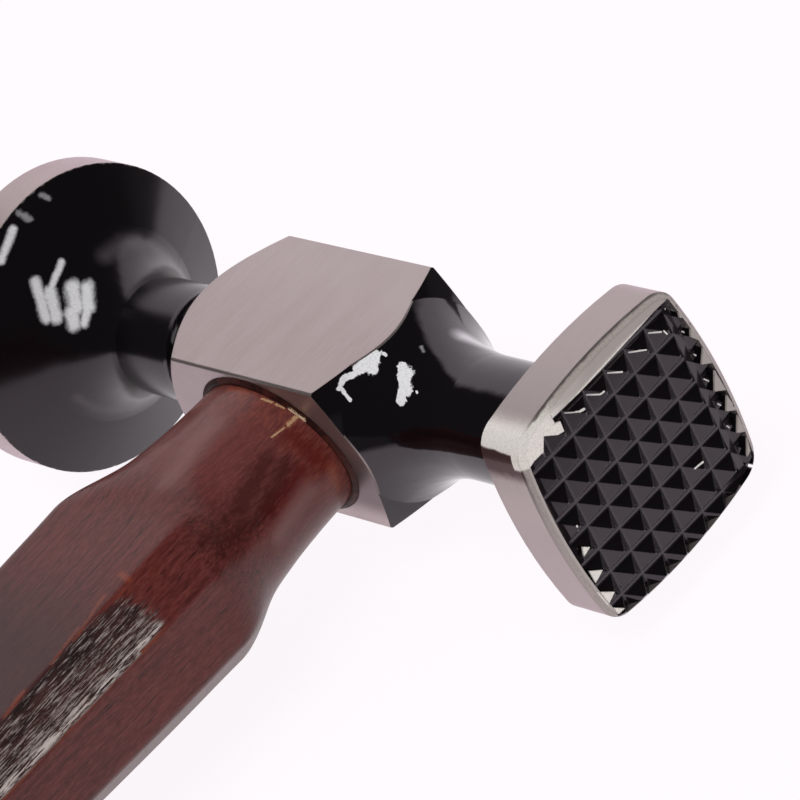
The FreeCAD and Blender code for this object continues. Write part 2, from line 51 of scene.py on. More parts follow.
CAMERA_PLACE = (0.5067032, -0.1259289, 0.3784219)
CAMERA_RIGHT = (0.648363, 0.626906, -0.431988)
CAMERA_UP = (-0.164726, 0.669486, 0.724330)
CAMERA_LENS = 218.772
CAMERA_CLIP = (0.01, 100.0)
SENSOR_WIDTH = 36.0
IMAGE_SIDE = 800
CAMERA_REACH = CAMERA_LENS / SENSOR_WIDTH * IMAGE_SIDE


class Nodes:
    """A node tree's nodes, made one by one. A value, a colour or a node's output goes in a socket."""

    def __init__(self, tree):
        self.tree = tree
        tree.nodes.clear()

    def fill(self, socket, value):
        if isinstance(value, bpy.types.NodeSocket):
            self.tree.links.new(value, socket)
        elif isinstance(value, (tuple, list)) and socket.type == "RGBA" and len(value) == 3:
            socket.default_value = (*value, 1.0)
        else:
            socket.default_value = value

    def add(self, kind, inputs=(), output=0, **settings):
        node = self.tree.nodes.new(kind)
        for key, value in settings.items():
            setattr(node, key, value)
        for key, value in dict(inputs).items():
            self.fill(node.inputs[key], value)
        return node.outputs[output]

    def math(self, operation, *values):
        return self.add("ShaderNodeMath", dict(enumerate(values)), operation=operation)

    def times(self, first, *others):
        for other in others:
            first = self.math("MULTIPLY", first, other)
        return first

    def plus(self, first, *others):
        for other in others:
            first = self.math("ADD", first, other)
        return first

    def most(self, first, *others):
        for other in others:
            first = self.math("MAXIMUM", first, other)
        return first

    def flip(self, value):
        return self.math("SUBTRACT", 1.0, value)

    def size(self, value):
        return self.math("ABSOLUTE", value)

    def step(self, value, ends):
        """Runs smoothly from zero to one as the value goes from one end to the other."""
        start, end = ends
        return self.add("ShaderNodeMapRange", {"Value": value, "From Min": start, "From Max": end},
                        interpolation_type="SMOOTHSTEP")

    def mix(self, share, first, second):
        node = self.tree.nodes.new("ShaderNodeMix")
        node.data_type = "RGBA"
        self.fill(node.inputs[0], share)
        self.fill(node.inputs[6], first)
        self.fill(node.inputs[7], second)
        return node.outputs[2]

    def coat(self, under, mask, coat):
        """A colour with a coat over it where the mask is one. A coat is its thickness and its colour."""
        share, over = coat
        return self.mix(self.times(mask, share), under, over)

    def dot(self, first, second):
        return self.add("ShaderNodeVectorMath", {0: first, 1: second}, "Value", operation="DOT_PRODUCT")

    def parts(self, vector):
        node = self.tree.nodes.new("ShaderNodeSeparateXYZ")
        self.fill(node.inputs[0], vector)
        return node.outputs

    def seen_or_mirrored(self):
        """One for the camera's rays and those of gloss and glass, then one for those of gloss alone."""
        rays = self.tree.nodes.new("ShaderNodeLightPath").outputs
        glossy = rays["Is Glossy Ray"]
        return self.most(rays["Is Camera Ray"], self.most(glossy, rays["Is Transmission Ray"])), glossy


class MaterialNodes(Nodes):
    """The nodes of a new material on the object's own coordinates."""

    def __init__(self, name):
        self.material = bpy.data.materials.new(name)
        self.material.use_nodes = True
        super().__init__(self.material.node_tree)
        self.output = self.tree.nodes.new("ShaderNodeOutputMaterial")
        coordinates = self.tree.nodes.new("ShaderNodeTexCoord")
        self.place = coordinates.outputs["Object"]
        self.normal = coordinates.outputs["Normal"]

    def stretched(self, scale, shift=(0.0, 0.0, 0.0)):
        return self.add("ShaderNodeMapping", {"Vector": self.place, "Scale": scale, "Location": shift})

    def millimetres(self):
        """The place about the middle of the eye, in millimetres, as three values."""
        return self.parts(self.stretched((1 / MM,) * 3, tuple(-value for value in EYE_MIDDLE)))

    def attribute(self, name):
        return self.add("ShaderNodeAttribute", output="Fac", attribute_name=name)

    def noise(self, scale, detail=3.0, roughness=0.5, vector=None):
        """Noise with about this many lumps to a metre."""
        return self.add("ShaderNodeTexNoise", {"Vector": self.place if vector is None else vector,
                                               "Scale": scale, "Detail": detail, "Roughness": roughness})

    def grain(self, scales, detail, roughness=0.5):
        """Noise with its own number of lumps to a metre along each axis."""
        return self.noise(1.0, detail, roughness, self.stretched(scales))

    def centred(self, noise):
        """Noise about zero instead of about a half."""
        return self.plus(noise, -0.5)

    def swing(self, noise, height):
        return self.times(self.centred(noise), height)

    def bump(self, height, distance, strength, under=None):
        inputs = {"Height": height, "Distance": distance, "Strength": strength}
        if under is not None:
            inputs["Normal"] = under
        return self.add("ShaderNodeBump", inputs)

    def surface(self, inputs):
        shader = self.add("ShaderNodeBsdfPrincipled", inputs)
        self.fill(self.output.inputs["Surface"], shader)
        return self.material


def give(node, material):
    """A CAD node shows this material all over."""
    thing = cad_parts[node]
    thing.data.materials.clear()
    thing.data.materials.append(material)


def pixel_ray(column, row):
    """The camera's ray through a pixel of the photograph."""
    right, up = Vector(CAMERA_RIGHT).normalized(), Vector(CAMERA_UP).normalized()
    across, above = column - IMAGE_SIDE / 2, IMAGE_SIDE / 2 - row
    return (right * across + up * above + up.cross(right) * CAMERA_REACH).normalized()


def place_on(node, column, row):
    """Where a pixel of the photograph meets a CAD node, and how long a pixel is there."""
    origin = Vector(CAMERA_PLACE)
    hit, place, normal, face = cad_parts[node].ray_cast(origin, pixel_ray(column, row))
    if not hit:
        raise ValueError(f"no {node} at pixel {column}, {row}")
    return place, (place - origin).length / CAMERA_REACH


CRISP_STROKE = (1.12, 0.9)


def strokes(n, node, marks, ragged, ends=CRISP_STROKE):
    """One along ragged strokes, and zero elsewhere.

    A stroke runs between two pixels of the photograph, and its third value is its half width in pixels.
    """
    covered = 0.0
    for start, end, half_width in marks:
        first, pixel = place_on(node, *start)
        last, pixel = place_on(node, *end)
        along = last - first
        from_first = n.add("ShaderNodeVectorMath", {0: n.place, 1: tuple(first)}, operation="SUBTRACT")
        share = n.add("ShaderNodeClamp", {0: n.dot(from_first, tuple(along / along.length_squared))})
        nearest = n.add("ShaderNodeVectorMath", {0: tuple(along), "Scale": share}, operation="SCALE")
        away = n.add("ShaderNodeVectorMath", {0: from_first, 1: nearest}, "Value", operation="DISTANCE")
        level = n.plus(n.times(away, 1 / (half_width * pixel)), ragged)
        covered = n.most(covered, n.step(level, ends))
    return covered


# Strokes on the forging: painted reflections of the lamps on the uneven lacquer, the same on the disc,
# which the photograph blurs, and fainter ones.
PAINTED_LAMP_REFLECTIONS = (
    ((374.0, 356.0), (370.0, 368.0), 6.6), ((368.0, 362.5), (359.0, 371.0), 6.2),
    ((355.5, 374.0), (345.0, 377.5), 3.3), ((343.0, 380.0), (338.5, 389.0), 3.0),
    ((340.0, 387.0), (344.5, 393.0), 2.2), ((344.5, 393.0), (350.0, 400.0), 1.8),
    ((383.6, 353.6), (385.7, 355.0), 1.6), ((402.9, 367.0), (408.0, 378.5), 5.2),
    ((406.4, 373.0), (407.0, 390.0), 6.8), ((404.3, 387.0), (401.4, 400.0), 4.6),
    ((402.0, 364.5), (401.4, 398.6), 3.6), ((416.4, 391.4), (417.0, 392.5), 1.3),
)
PAINTED_BLURRED_REFLECTIONS = (
    ((35.5, 281.6), (46.0, 318.0), 5.6), ((62.0, 262.0), (47.0, 297.0), 3.6),
    ((50.0, 292.0), (56.0, 318.0), 6.4), ((73.0, 287.0), (76.0, 308.0), 8.0),
    ((87.0, 287.0), (88.0, 306.0), 7.5), ((72.0, 312.0), (74.0, 324.0), 7.6),
    ((87.0, 312.0), (84.0, 323.0), 5.0), ((13.0, 229.0), (1.0, 261.0), 4.2),
)
PAINTED_FAINT_REFLECTIONS = (
    ((42.0, 195.0), (48.0, 198.0), 3.6), ((20.0, 214.0), (29.0, 219.0), 4.0),
    ((421.4, 347.0), (423.6, 351.4), 2.0),
)
# Painted soft highlights along the plate's neck and round the disc's back.
NECK_STREAK = (((466.0, 337.0), (487.0, 347.0), 19.0),)
DISC_STREAKS = (
    ((106.0, 256.0), (124.0, 243.0), 14.0), ((124.0, 243.0), (146.0, 242.0), 15.0),
    ((146.0, 242.0), (168.0, 258.0), 14.0), ((78.0, 398.0), (96.0, 409.0), 9.0),
    ((96.0, 409.0), (128.0, 410.0), 11.0), ((128.0, 410.0), (156.0, 399.0), 12.0),
)
# Painted glints on the ridges of the pyramids, where the ridges are also worn bright.
RIDGE_GLINTS = (
    ((565.0, 413.0), (580.0, 411.5), 0.9), ((580.0, 411.5), (584.0, 409.0), 1.3),
    ((587.0, 394.8), (600.0, 394.5), 1.0), ((600.0, 394.5), (604.0, 391.5), 1.0),
    ((608.0, 373.0), (622.0, 372.0), 1.0), ((629.0, 352.5), (641.0, 350.5), 0.9),
    ((641.0, 350.5), (646.0, 350.0), 0.8), ((649.0, 333.0), (661.0, 332.0), 1.0),
    ((664.0, 331.0), (667.0, 334.0), 0.8), ((665.0, 309.0), (673.0, 310.5), 0.9),
    ((682.0, 331.5), (688.0, 334.0), 0.8), ((694.0, 354.5), (699.5, 357.0), 0.8),
    ((704.0, 379.0), (713.0, 383.0), 0.8), ((718.0, 404.0), (724.5, 407.0), 0.8),
    ((727.0, 426.0), (729.0, 427.5), 0.8), ((695.0, 468.5), (703.0, 462.0), 1.0),
    ((577.0, 526.0), (578.5, 531.0), 0.9),
)
BLURRED_STROKE = (1.5, 0.35)
FAINT_STROKE = (1.4, 0.2)
NECK_STROKE = (1.1, -0.2)
DISC_STROKE = (1.2, -0.2)
LAMP_RAG = 3.2
BLURRED_RAG = 1.5
FAINT_RAG = 3.0
GLINT_RAG = 1.0
STREAK_RAG = 0.15
BLURRED_SHARE = 0.84
FAINT_SHARE = 0.3

# Noise on the forging as scale, detail and roughness. The brushing has a scale for each axis.
NICK_NOISE = (900.0, 3.0)
RAG_NOISE = (520.0, 6.0, 0.78)
GRIT_NOISE = (4200.0, 4.0, 0.65)
PEEL_NOISE = (150.0, 2.5, 0.55)
FINE_BRUSHING = ((9000.0, 260.0, 9000.0), 4.0, 0.7)
BROAD_BRUSHING = ((260.0, 60.0, 260.0), 2.0)
PLATE_BRUSHING = ((9000.0, 250.0, 250.0), 4.0, 0.7)
BRUSHING_SHARES = (0.65, 0.35)
BRUSHING_CONTRAST = (0.3, 0.7)
GRIT_CONTRAST = (0.25, 0.65)
MARK_CONTRAST = (0.3, 0.7)
NICK_HEIGHT = 0.5

# The block's flats, by the block's ends, the flats' distances and how squarely they face out.
BLOCK_END_X = (27.0, 26.5)
CHEEK_Z = (12.4, 12.5)
BLOCK_TOP_Y = (12.9, 13.0)
FLAT_FACING = (0.6, 0.65)
# The disc's ground rim, and the plate with the pyramids inside its bowed sides.
DISC_RIM_X = (-55.9, -56.1)
PLATE_X = (52.62, 52.8)
PLATE_BOW = 1 / 154.0
INSIDE_Y = (16.2, 16.1)
INSIDE_Z = (17.1, 17.0)
TEETH_X = (59.0, 59.1)
TROUGH_X = (59.4, 59.24)
# The plate's rim along its upper side and at its corners. The near corner's land is worn bright.
UPPER_RIM_LEAN = 0.053
UPPER_RIM_Z = (14.95, 15.1)
RIGHT_CORNER_Y = (11.0, 11.5)
RIGHT_CORNER_Z = (-13.0, -13.5)
SLAB_TOP_X = (60.5, 60.7)
RIM_TOP_X = (60.86, 60.88)
NEAR_SIDE_Y = (-13.4, -13.6)
NEAR_BEVEL_X = (60.1, 60.3)
NEAR_BEVEL_Y = (-11.0, -11.2)
NEAR_BEVEL_Z = (13.9, 14.1)
NEAR_TOP_X = (58.8, 58.9)
NEAR_TOP_Y = (-8.6, -9.0)
NEAR_TOP_Z = (12.0, 12.5)
# The wear on the plate: its rim's bevel and top. At the near corner, a painted bright reflection over a
# painted reflection of the handle, with painted shade below them and along the seam of the plate's side and
# bevel.
UPPER_SIDE_Z = (9.0, 12.0)
UPPER_SIDE_EDGE = (15.0, 15.4)
BEVEL_X = (60.15, 60.45)
TOP_X = (60.7, 60.86)
BEVEL_NICK = 0.6
# Where the painted bright reflection on the near corner's side lies.
PATCH_Y = (-9.5, -13.5)
PATCH_Z = (14.35, 14.65)
PATCH_NICK = 0.7
PATCH_LEAN = 0.05
PATCH_START_X = 54.0
# Where the painted reflection of the handle lies.
HANDLE_REFLECTION_Y = (-12.0, -14.0)
HANDLE_REFLECTION_Z = (9.7, 11.6)
HANDLE_REFLECTION_NICK = 1.5
# Where the painted shade along the seam of the plate's side and bevel lies.
SEAM_START_X = (59.85, 60.0)
SEAM_END_X = (60.3, 60.12)
SEAM_FACING = (0.5, 0.3)
WORN_END_Y = (-4.5, -11.0)
WORN_END_NICK = 2.0
WORN_INSIDE_Z = (14.95, 14.5)
WORN_INSIDE_NICK = 0.6
WORN_FAR_Y = (13.6, 13.2)
LAND_FADE_Y = (-5.0, 0.0)
# Where the painted shade below the near corner lies.
BELOW_CORNER_Y = (-11.0, -13.5)
BELOW_CORNER_Z = (6.0, 0.0)
# The shade on the block's underside, beside the handle's neck and to its other side.
UNDERSIDE_FACING = (0.0, -0.5)
SHADE_LOW_Z = (-11.5, -7.5)
SHADE_HIGH_Z = (-4.0, 5.0)
SHADE_RIGHT_X = (2.0, 9.0)
SHADE_LEFT_X = (0.0, -6.0)
SHADE_LOW_SHARE = 0.78
SHADE_HIGH_SHARE = 0.7
SHADE_LEFT_SHARE = 0.32
# Where the painted gleam on the cheeks starts and where it is full.
CHEEK_GLEAM_Y = (-8.0, 12.0)

# The forging's colours. A pair of colours is mixed by the noise.
BLACK_LACQUER = (0.0030, 0.0023, 0.0030)
GROUND_STEEL = ((0.41, 0.343, 0.326), (0.49, 0.425, 0.408))
UNDERSIDE_SHADE = (0.075, 0.058, 0.056)
UPPER_BEVEL = ((0.40, 0.35, 0.33), (0.55, 0.49, 0.455))
LOWER_BEVEL = ((0.31, 0.27, 0.25), (0.44, 0.39, 0.36))
UPPER_LAND = ((0.52, 0.48, 0.445), (0.43, 0.395, 0.365))
LOWER_LAND = (0.52, 0.47, 0.44)
WORN_LAND = ((0.76, 0.71, 0.65), (1.0, 0.96, 0.89))
# A painted bright reflection on the near corner's side.
CORNER_PAINTED_HIGHLIGHT = ((0.80, 0.74, 0.69), (1.0, 0.96, 0.92))
# Painted reflections of the lamps.
PAINTED_REFLECTION_COLOURS = ((0.72, 0.72, 0.75), (0.95, 0.95, 0.96))
# A painted gleam on the cheeks.
CHEEK_PAINTED_GLEAM = (0.3, (0.56, 0.50, 0.49))
PLATE_COAT = (0.5, (0.43, 0.385, 0.370))
# Painted shade below the plate's near corner.
BELOW_CORNER_PAINTED_SHADE = (0.16, (0.18, 0.15, 0.14))
# A painted reflection of the handle.
PAINTED_HANDLE_REFLECTION = (0.94, (0.064, 0.024, 0.021))
# Painted shade along the seam of the plate's side and bevel.
SEAM_PAINTED_SHADE = (0.18, (0.08, 0.06, 0.055))
TROUGH_COAT = (1.0, (0.022, 0.018, 0.021))
# Painted highlights on the plate's neck and the disc's back, and painted glints on the pyramids' ridges.
NECK_PAINTED_HIGHLIGHT = (1.0, (0.93, 0.87, 0.93))
DISC_PAINTED_HIGHLIGHT = (0.08, (0.62, 0.55, 0.62))
GLINT_COAT = (1.0, (0.85, 0.82, 0.78))

# The forging's gloss. The disc's back is a little duller, and so is the underside of the plate's cone.
DISC_X = (-26.0, -30.0)
CONE_START_X = (14.0, 17.0)
CONE_END_X = (34.0, 30.0)
CONE_FACING = (-0.15, -0.5)
EDGE_ROUNDING = 0.00022
EDGE_SAMPLES = 4
PEEL_DEPTH = 0.00022
PEEL_STRENGTH = 0.34
PEEL_LOSS_ON_DISC = 0.28
SCRATCH_DEPTH = 0.000012
STEEL_METALLIC = 0.85
# The worn steel and the plate's painted reflections are less metallic.
WEAR_AND_HIGHLIGHT_METALLIC_LOSS = 0.6
HANDLE_REFLECTION_METALLIC_LOSS = 0.3
LACQUER_ROUGHNESS = 0.07
GROUND_ROUGHNESS = 0.27
# The worn steel and the painted bright reflection are rougher.
WEAR_AND_HIGHLIGHT_ROUGHNESS = 0.2
MARK_ROUGHNESS = 0.5
DISC_ROUGHNESS = 0.11
LACQUER_IOR = 1.62
LACQUER_SPECULAR = 0.5
DISC_SPECULAR_LOSS = 0.1
CONE_SPECULAR_LOSS = 0.22
LACQUER_TINT = (1.0, 0.87, 0.97, 1.0)


def forging_masks(n):
    """Where the forging is ground or worn steel, where the plate carries painted reflections and painted
    shade, and where it is lacquered.
    """
    x, y, z = n.millimetres()
    facing = n.parts(n.normal)
    nick = n.swing(n.noise(*NICK_NOISE), NICK_HEIGHT)
    block = n.step(n.size(x), BLOCK_END_X)
    cheeks = n.times(n.step(n.size(z), CHEEK_Z), n.step(n.size(facing["Z"]), FLAT_FACING))
    ends = n.times(n.step(n.size(y), BLOCK_TOP_Y), n.step(n.size(facing["Y"]), FLAT_FACING))
    disc_rim = n.step(n.plus(x, nick), DISC_RIM_X)
    plate = n.step(n.plus(x, nick), PLATE_X)
    edge_y = n.plus(n.size(y), n.times(z, z, PLATE_BOW))
    edge_z = n.plus(n.size(z), n.times(y, y, PLATE_BOW))

    slab = n.attribute("bare")
    no_slab = n.flip(slab)
    upper_rim = n.step(n.plus(z, n.times(y, UPPER_RIM_LEAN)), UPPER_RIM_Z)
    right_corner = n.times(n.step(z, RIGHT_CORNER_Z), n.step(y, RIGHT_CORNER_Y))
    rims = n.times(n.most(upper_rim, n.flip(n.step(edge_y, INSIDE_Y))), n.flip(right_corner), no_slab)
    near_bevel = n.times(n.step(y, NEAR_BEVEL_Y), n.step(z, NEAR_BEVEL_Z), n.step(x, NEAR_BEVEL_X))
    near_top = n.most(n.step(x, RIM_TOP_X), n.most(n.step(y, NEAR_SIDE_Y), near_bevel))
    near_top = n.times(near_top, n.step(y, NEAR_TOP_Y), n.step(z, NEAR_TOP_Z), no_slab,
                       n.step(x, NEAR_TOP_X))
    slab_top = n.times(slab, n.step(x, SLAB_TOP_X))
    inside = n.most(n.step(edge_z, INSIDE_Z), right_corner, slab)
    teeth = n.times(n.flip(n.most(rims, near_top, slab_top)), inside, n.step(x, TEETH_X))
    land = n.most(slab_top, near_top)

    ground = n.times(n.most(n.times(block, n.most(cheeks, ends)), disc_rim, plate), n.flip(teeth))
    plate_steel = n.times(ground, plate)
    bevel = n.times(plate_steel, n.step(n.plus(x, n.times(nick, BEVEL_NICK)), BEVEL_X))
    # A painted bright reflection on the near corner's side.
    lean = n.times(n.plus(x, -PATCH_START_X), PATCH_LEAN)
    above = n.step(n.plus(z, n.times(nick, PATCH_NICK), lean), PATCH_Z)
    highlight_patch = n.times(plate_steel, above, n.step(n.plus(y, nick), PATCH_Y))
    # The worn rim and land, with the painted bright reflection.
    wear_and_highlight = n.most(bevel, highlight_patch, land)
    # A painted reflection of the handle below the bright one.
    handle_reflection = n.times(plate_steel, n.flip(wear_and_highlight), n.step(y, HANDLE_REFLECTION_Y), n.flip(above),
                      n.step(n.plus(z, n.times(nick, HANDLE_REFLECTION_NICK)), HANDLE_REFLECTION_Z))
    # Painted shade along the seam of the plate's side and bevel.
    seam = n.times(plate_steel, n.step(x, SEAM_START_X), n.step(x, SEAM_END_X),
                   n.step(facing["Z"], SEAM_FACING))
    upper = n.times(n.step(z, UPPER_SIDE_Z), n.step(edge_z, UPPER_SIDE_EDGE))
    return SimpleNamespace(
        x=x, y=y, z=z, facing=facing, nick=nick, cheeks=n.times(cheeks, block), ends=n.times(ends, block),
        plate=plate, teeth=teeth, land=land, ground=ground, lacquer=n.flip(ground), bevel=bevel,
        highlight_patch=highlight_patch, wear_and_highlight=wear_and_highlight, handle_reflection=handle_reflection, seam=seam, upper=n.most(upper, slab, near_top))


def rim_colour(n, masks, grain):
    """The worn steel on the plate's rim and land: brighter towards the near corner and on the inside. Over
    it, a painted bright reflection on the near corner's side.
    """
    x, y, z, nick = masks.x, masks.y, masks.z, masks.nick
    top = n.step(x, TOP_X)
    upper = n.mix(top, n.mix(grain, *UPPER_BEVEL), n.mix(n.step(y, LAND_FADE_Y), *UPPER_LAND))
    near_end = n.step(n.plus(y, n.times(nick, WORN_END_NICK)), WORN_END_Y)
    worn = n.most(n.step(n.plus(z, n.times(nick, WORN_INSIDE_NICK)), WORN_INSIDE_Z), near_end)
    worn = n.times(worn, n.step(y, WORN_FAR_Y), n.most(masks.land, n.times(masks.bevel, near_end)))
    upper = n.mix(worn, upper, n.mix(grain, *WORN_LAND))
    lower = n.mix(top, n.mix(grain, *LOWER_BEVEL), LOWER_LAND)
    return n.mix(masks.highlight_patch, n.mix(masks.upper, lower, upper), n.mix(grain, *CORNER_PAINTED_HIGHLIGHT))


def steel_colour(n, masks, brushed, grit):
    """Ground steel with painted shade under the block and below the plate's near corner, a painted gleam on
    the cheeks, and the plate's wear, with a painted bright reflection over a painted reflection of the
    handle and painted shade along the plate's seam.
    """
    x, y, z = masks.x, masks.y, masks.z
    steel = n.mix(n.step(brushed, BRUSHING_CONTRAST), *GROUND_STEEL)
    shade = n.plus(n.times(n.step(z, SHADE_LOW_Z), SHADE_LOW_SHARE),
                   n.times(n.step(z, SHADE_HIGH_Z), -SHADE_HIGH_SHARE))
    shade = n.plus(n.times(n.step(x, SHADE_RIGHT_X), shade),
                   n.times(n.step(x, SHADE_LEFT_X), SHADE_LEFT_SHARE))
    underside = n.times(masks.ends, n.step(masks.facing["Y"], UNDERSIDE_FACING))
    steel = n.mix(n.times(underside, shade), steel, UNDERSIDE_SHADE)
    # A painted gleam on the cheeks, stronger towards the top of the head.
    steel = n.coat(steel, n.times(masks.cheeks, n.step(y, CHEEK_GLEAM_Y)), CHEEK_PAINTED_GLEAM)
    steel = n.coat(steel, masks.plate, PLATE_COAT)
    # Painted shade below the plate's near corner.
    below_corner = n.times(masks.plate, n.step(y, BELOW_CORNER_Y), n.step(z, BELOW_CORNER_Z))
    steel = n.coat(steel, below_corner, BELOW_CORNER_PAINTED_SHADE)
    # A painted reflection of the handle.
    steel = n.coat(steel, masks.handle_reflection, PAINTED_HANDLE_REFLECTION)
    # The worn rim and land, and the painted bright reflection on the near corner's side.
    steel = n.mix(masks.wear_and_highlight, steel, rim_colour(n, masks, n.step(grit, GRIT_CONTRAST)))
    # Painted shade along the seam of the plate's side and bevel.
    return n.coat(steel, masks.seam, SEAM_PAINTED_SHADE)


def lacquered_steel():
    """Black gloss lacquer on the forging and ground steel on its flats and rims, with painted reflections,
    highlights and glints on both.
    """
    n = MaterialNodes("lacquered_forging")
    masks = forging_masks(n)
    ragged = n.centred(n.noise(*RAG_NOISE))
    streak_rag = n.times(ragged, STREAK_RAG)
    # Painted reflections of the lamps on the lacquer: sharp, blurred and faint.
    marks = strokes(n, "hammer_head", PAINTED_LAMP_REFLECTIONS, n.times(ragged, LAMP_RAG))
    blurred = strokes(n, "hammer_head", PAINTED_BLURRED_REFLECTIONS, n.times(ragged, BLURRED_RAG), BLURRED_STROKE)
    faint = strokes(n, "hammer_head", PAINTED_FAINT_REFLECTIONS, n.times(ragged, FAINT_RAG), FAINT_STROKE)
    blurred = n.most(n.times(blurred, BLURRED_SHARE), n.times(faint, FAINT_SHARE))
    marks = n.times(n.most(marks, blurred), masks.lacquer)
    # Painted highlights on the plate's neck and the disc's back, and painted glints on the pyramids'
    # ridges.
    neck_highlight = strokes(n, "hammer_head", NECK_STREAK, streak_rag, NECK_STROKE)
    disc_highlight = strokes(n, "hammer_head", DISC_STREAKS, streak_rag, DISC_STROKE)
    glints = strokes(n, "hammer_head", RIDGE_GLINTS, n.times(ragged, GLINT_RAG))

    fine_share, broad_share = BRUSHING_SHARES
    brushed = n.plus(n.times(n.grain(*FINE_BRUSHING), fine_share),
                     n.times(n.grain(*BROAD_BRUSHING), broad_share))
    brushed = n.mix(masks.plate, brushed, n.grain(*PLATE_BRUSHING))
    grit = n.noise(*GRIT_NOISE)
    colour = n.mix(masks.ground, BLACK_LACQUER, steel_colour(n, masks, brushed, grit))
    trough = n.times(masks.teeth, n.step(masks.x, TROUGH_X))
    colour = n.coat(colour, n.times(trough, masks.lacquer), TROUGH_COAT)
    # Painted highlights, painted lamp reflections and painted glints over the colour.
    colour = n.coat(colour, n.times(neck_highlight, masks.lacquer), NECK_PAINTED_HIGHLIGHT)
    colour = n.coat(colour, n.times(disc_highlight, masks.lacquer), DISC_PAINTED_HIGHLIGHT)
    colour = n.mix(marks, colour, n.mix(n.step(grit, MARK_CONTRAST), *PAINTED_REFLECTION_COLOURS))
    colour = n.coat(colour, glints, GLINT_COAT)

    disc = n.step(masks.x, DISC_X)
    under_cone = n.times(n.step(masks.x, CONE_START_X), n.step(masks.x, CONE_END_X),
                         n.step(masks.facing["Z"], CONE_FACING), masks.lacquer)
    rounded = n.add("ShaderNodeBevel", {"Radius": EDGE_ROUNDING}, samples=EDGE_SAMPLES)
    peel_strength = n.plus(PEEL_STRENGTH, n.times(disc, -PEEL_LOSS_ON_DISC))
    peel = n.bump(n.noise(*PEEL_NOISE), PEEL_DEPTH, peel_strength, rounded)
    scratches = n.bump(brushed, SCRATCH_DEPTH, 1.0, rounded)
    metallic = n.plus(STEEL_METALLIC, n.times(masks.wear_and_highlight, -WEAR_AND_HIGHLIGHT_METALLIC_LOSS),
                      n.times(masks.handle_reflection, -HANDLE_REFLECTION_METALLIC_LOSS))
    return n.surface({
        "Base Color": colour,
        "Metallic": n.times(masks.ground, metallic),
        "Roughness": n.plus(LACQUER_ROUGHNESS, n.times(masks.ground, GROUND_ROUGHNESS),
                            n.times(masks.wear_and_highlight, WEAR_AND_HIGHLIGHT_ROUGHNESS), n.times(marks, MARK_ROUGHNESS),
                            n.times(disc, masks.lacquer, DISC_ROUGHNESS)),
        "IOR": LACQUER_IOR,
        "Specular IOR Level": n.plus(LACQUER_SPECULAR, n.times(disc, -DISC_SPECULAR_LOSS),
                                     n.times(under_cone, -CONE_SPECULAR_LOSS)),
        "Specular Tint": LACQUER_TINT,
        "Normal": n.add("ShaderNodeMix", {0: masks.ground, 4: peel, 5: scratches}, 1, data_type="VECTOR"),
    })


# Strokes on the handle: painted dark and deep red reflections of the unlit room in its lacquer, worn orange
# lines and spots, painted sheen, and the glue's painted glints. The bead has one too.
PAINTED_DARK_REFLECTIONS = (
    ((286.0, 466.0), (264.4, 508.9), 14.0), ((260.0, 515.6), (228.9, 540.0), 13.0),
    ((217.8, 535.6), (222.2, 553.3), 7.0), ((240.0, 500.0), (205.0, 545.0), 8.0),
    ((268.0, 462.0), (238.0, 508.0), 14.0),
)
PAINTED_RED_REFLECTIONS = (((295.6, 440.0), (322.0, 462.0), 17.0), ((300.0, 470.0), (270.0, 510.0), 12.0))
WORN_LINES = (
    ((331.0, 468.9), (337.8, 486.7), 7.0), ((228.9, 388.9), (246.7, 393.3), 3.2),
    ((120.8, 573.8), (128.0, 579.0), 3.4), ((104.0, 596.7), (75.0, 640.4), 2.6),
    ((79.0, 629.5), (52.6, 663.7), 2.6), ((23.7, 692.6), (5.3, 716.3), 3.2),
)
# Spots of painted sheen.
PAINTED_SHEEN_SPOTS = (((308.0, 490.0), (280.0, 535.0), 12.0), ((210.0, 425.0), (168.0, 478.0), 17.0))
# Painted glints on the glue at the eye's mouth.
GLUE_GLINTS = (
    ((296.0, 417.0), (288.0, 425.0), 1.9), ((262.0, 399.0), (272.0, 402.5), 1.3),
    ((276.0, 404.5), (284.0, 408.0), 1.3), ((284.0, 428.0), (272.0, 437.0), 1.0),
)
BEAD_GLINT = (((290.0, 410.5), (303.0, 420.0), 2.4),)
SOFT_PAINT_STROKE = (1.5, 0.0)
LINE_STROKE = (1.5, 0.3)
GLUE_STROKE = (1.5, 0.6)
BEAD_STROKE = (1.4, 0.6)

# Noise in the wood along its fibres, with a scale for each axis, then detail and roughness.
SWAY_NOISE = ((60.0, 6.0, 60.0), 2.0)
SWAY = (3.0, 2.0)
FIBRE_SCALES = (1500.0, 55.0, 1500.0)
FIBRE_DETAIL = (6.0, 0.62)
MOTTLE_NOISE = ((2800.0, 700.0, 2800.0), 3.0, 0.6)
BLOTCH_NOISE = ((90.0, 30.0, 90.0), 4.0, 0.6)
PORE_NOISE = ((3800.0, 260.0, 3800.0), 2.0)
CRACK_NOISE = ((520.0, 16.0, 520.0), 3.0)
TATTER_NOISE = ((900.0, 160.0, 900.0), 5.0, 0.72)
STREAK_NOISE = ((4200.0, 300.0, 4200.0), 5.0, 0.72)
FRAY_NOISE = (5200.0, 3.0, 0.7)
FIBRE_CONTRAST = (0.3, 0.7)
BLOTCH_CONTRAST = (0.4, 0.65)
PALE_FLECKS = (0.45, 0.75)
DARK_FLECKS = (0.5, 0.25)
PORE_CONTRAST = (0.62, 0.72)
CRACK_WIDTH = (0.011, 0.004)
CRACK_BLOTCHES = (0.5, 0.6)
TORN_BY_TATTER = 1.6
TORN_BY_MOTTLE = 1.4
WOOD_FRAY = 5.0
BEAD_FRAY = 4.0

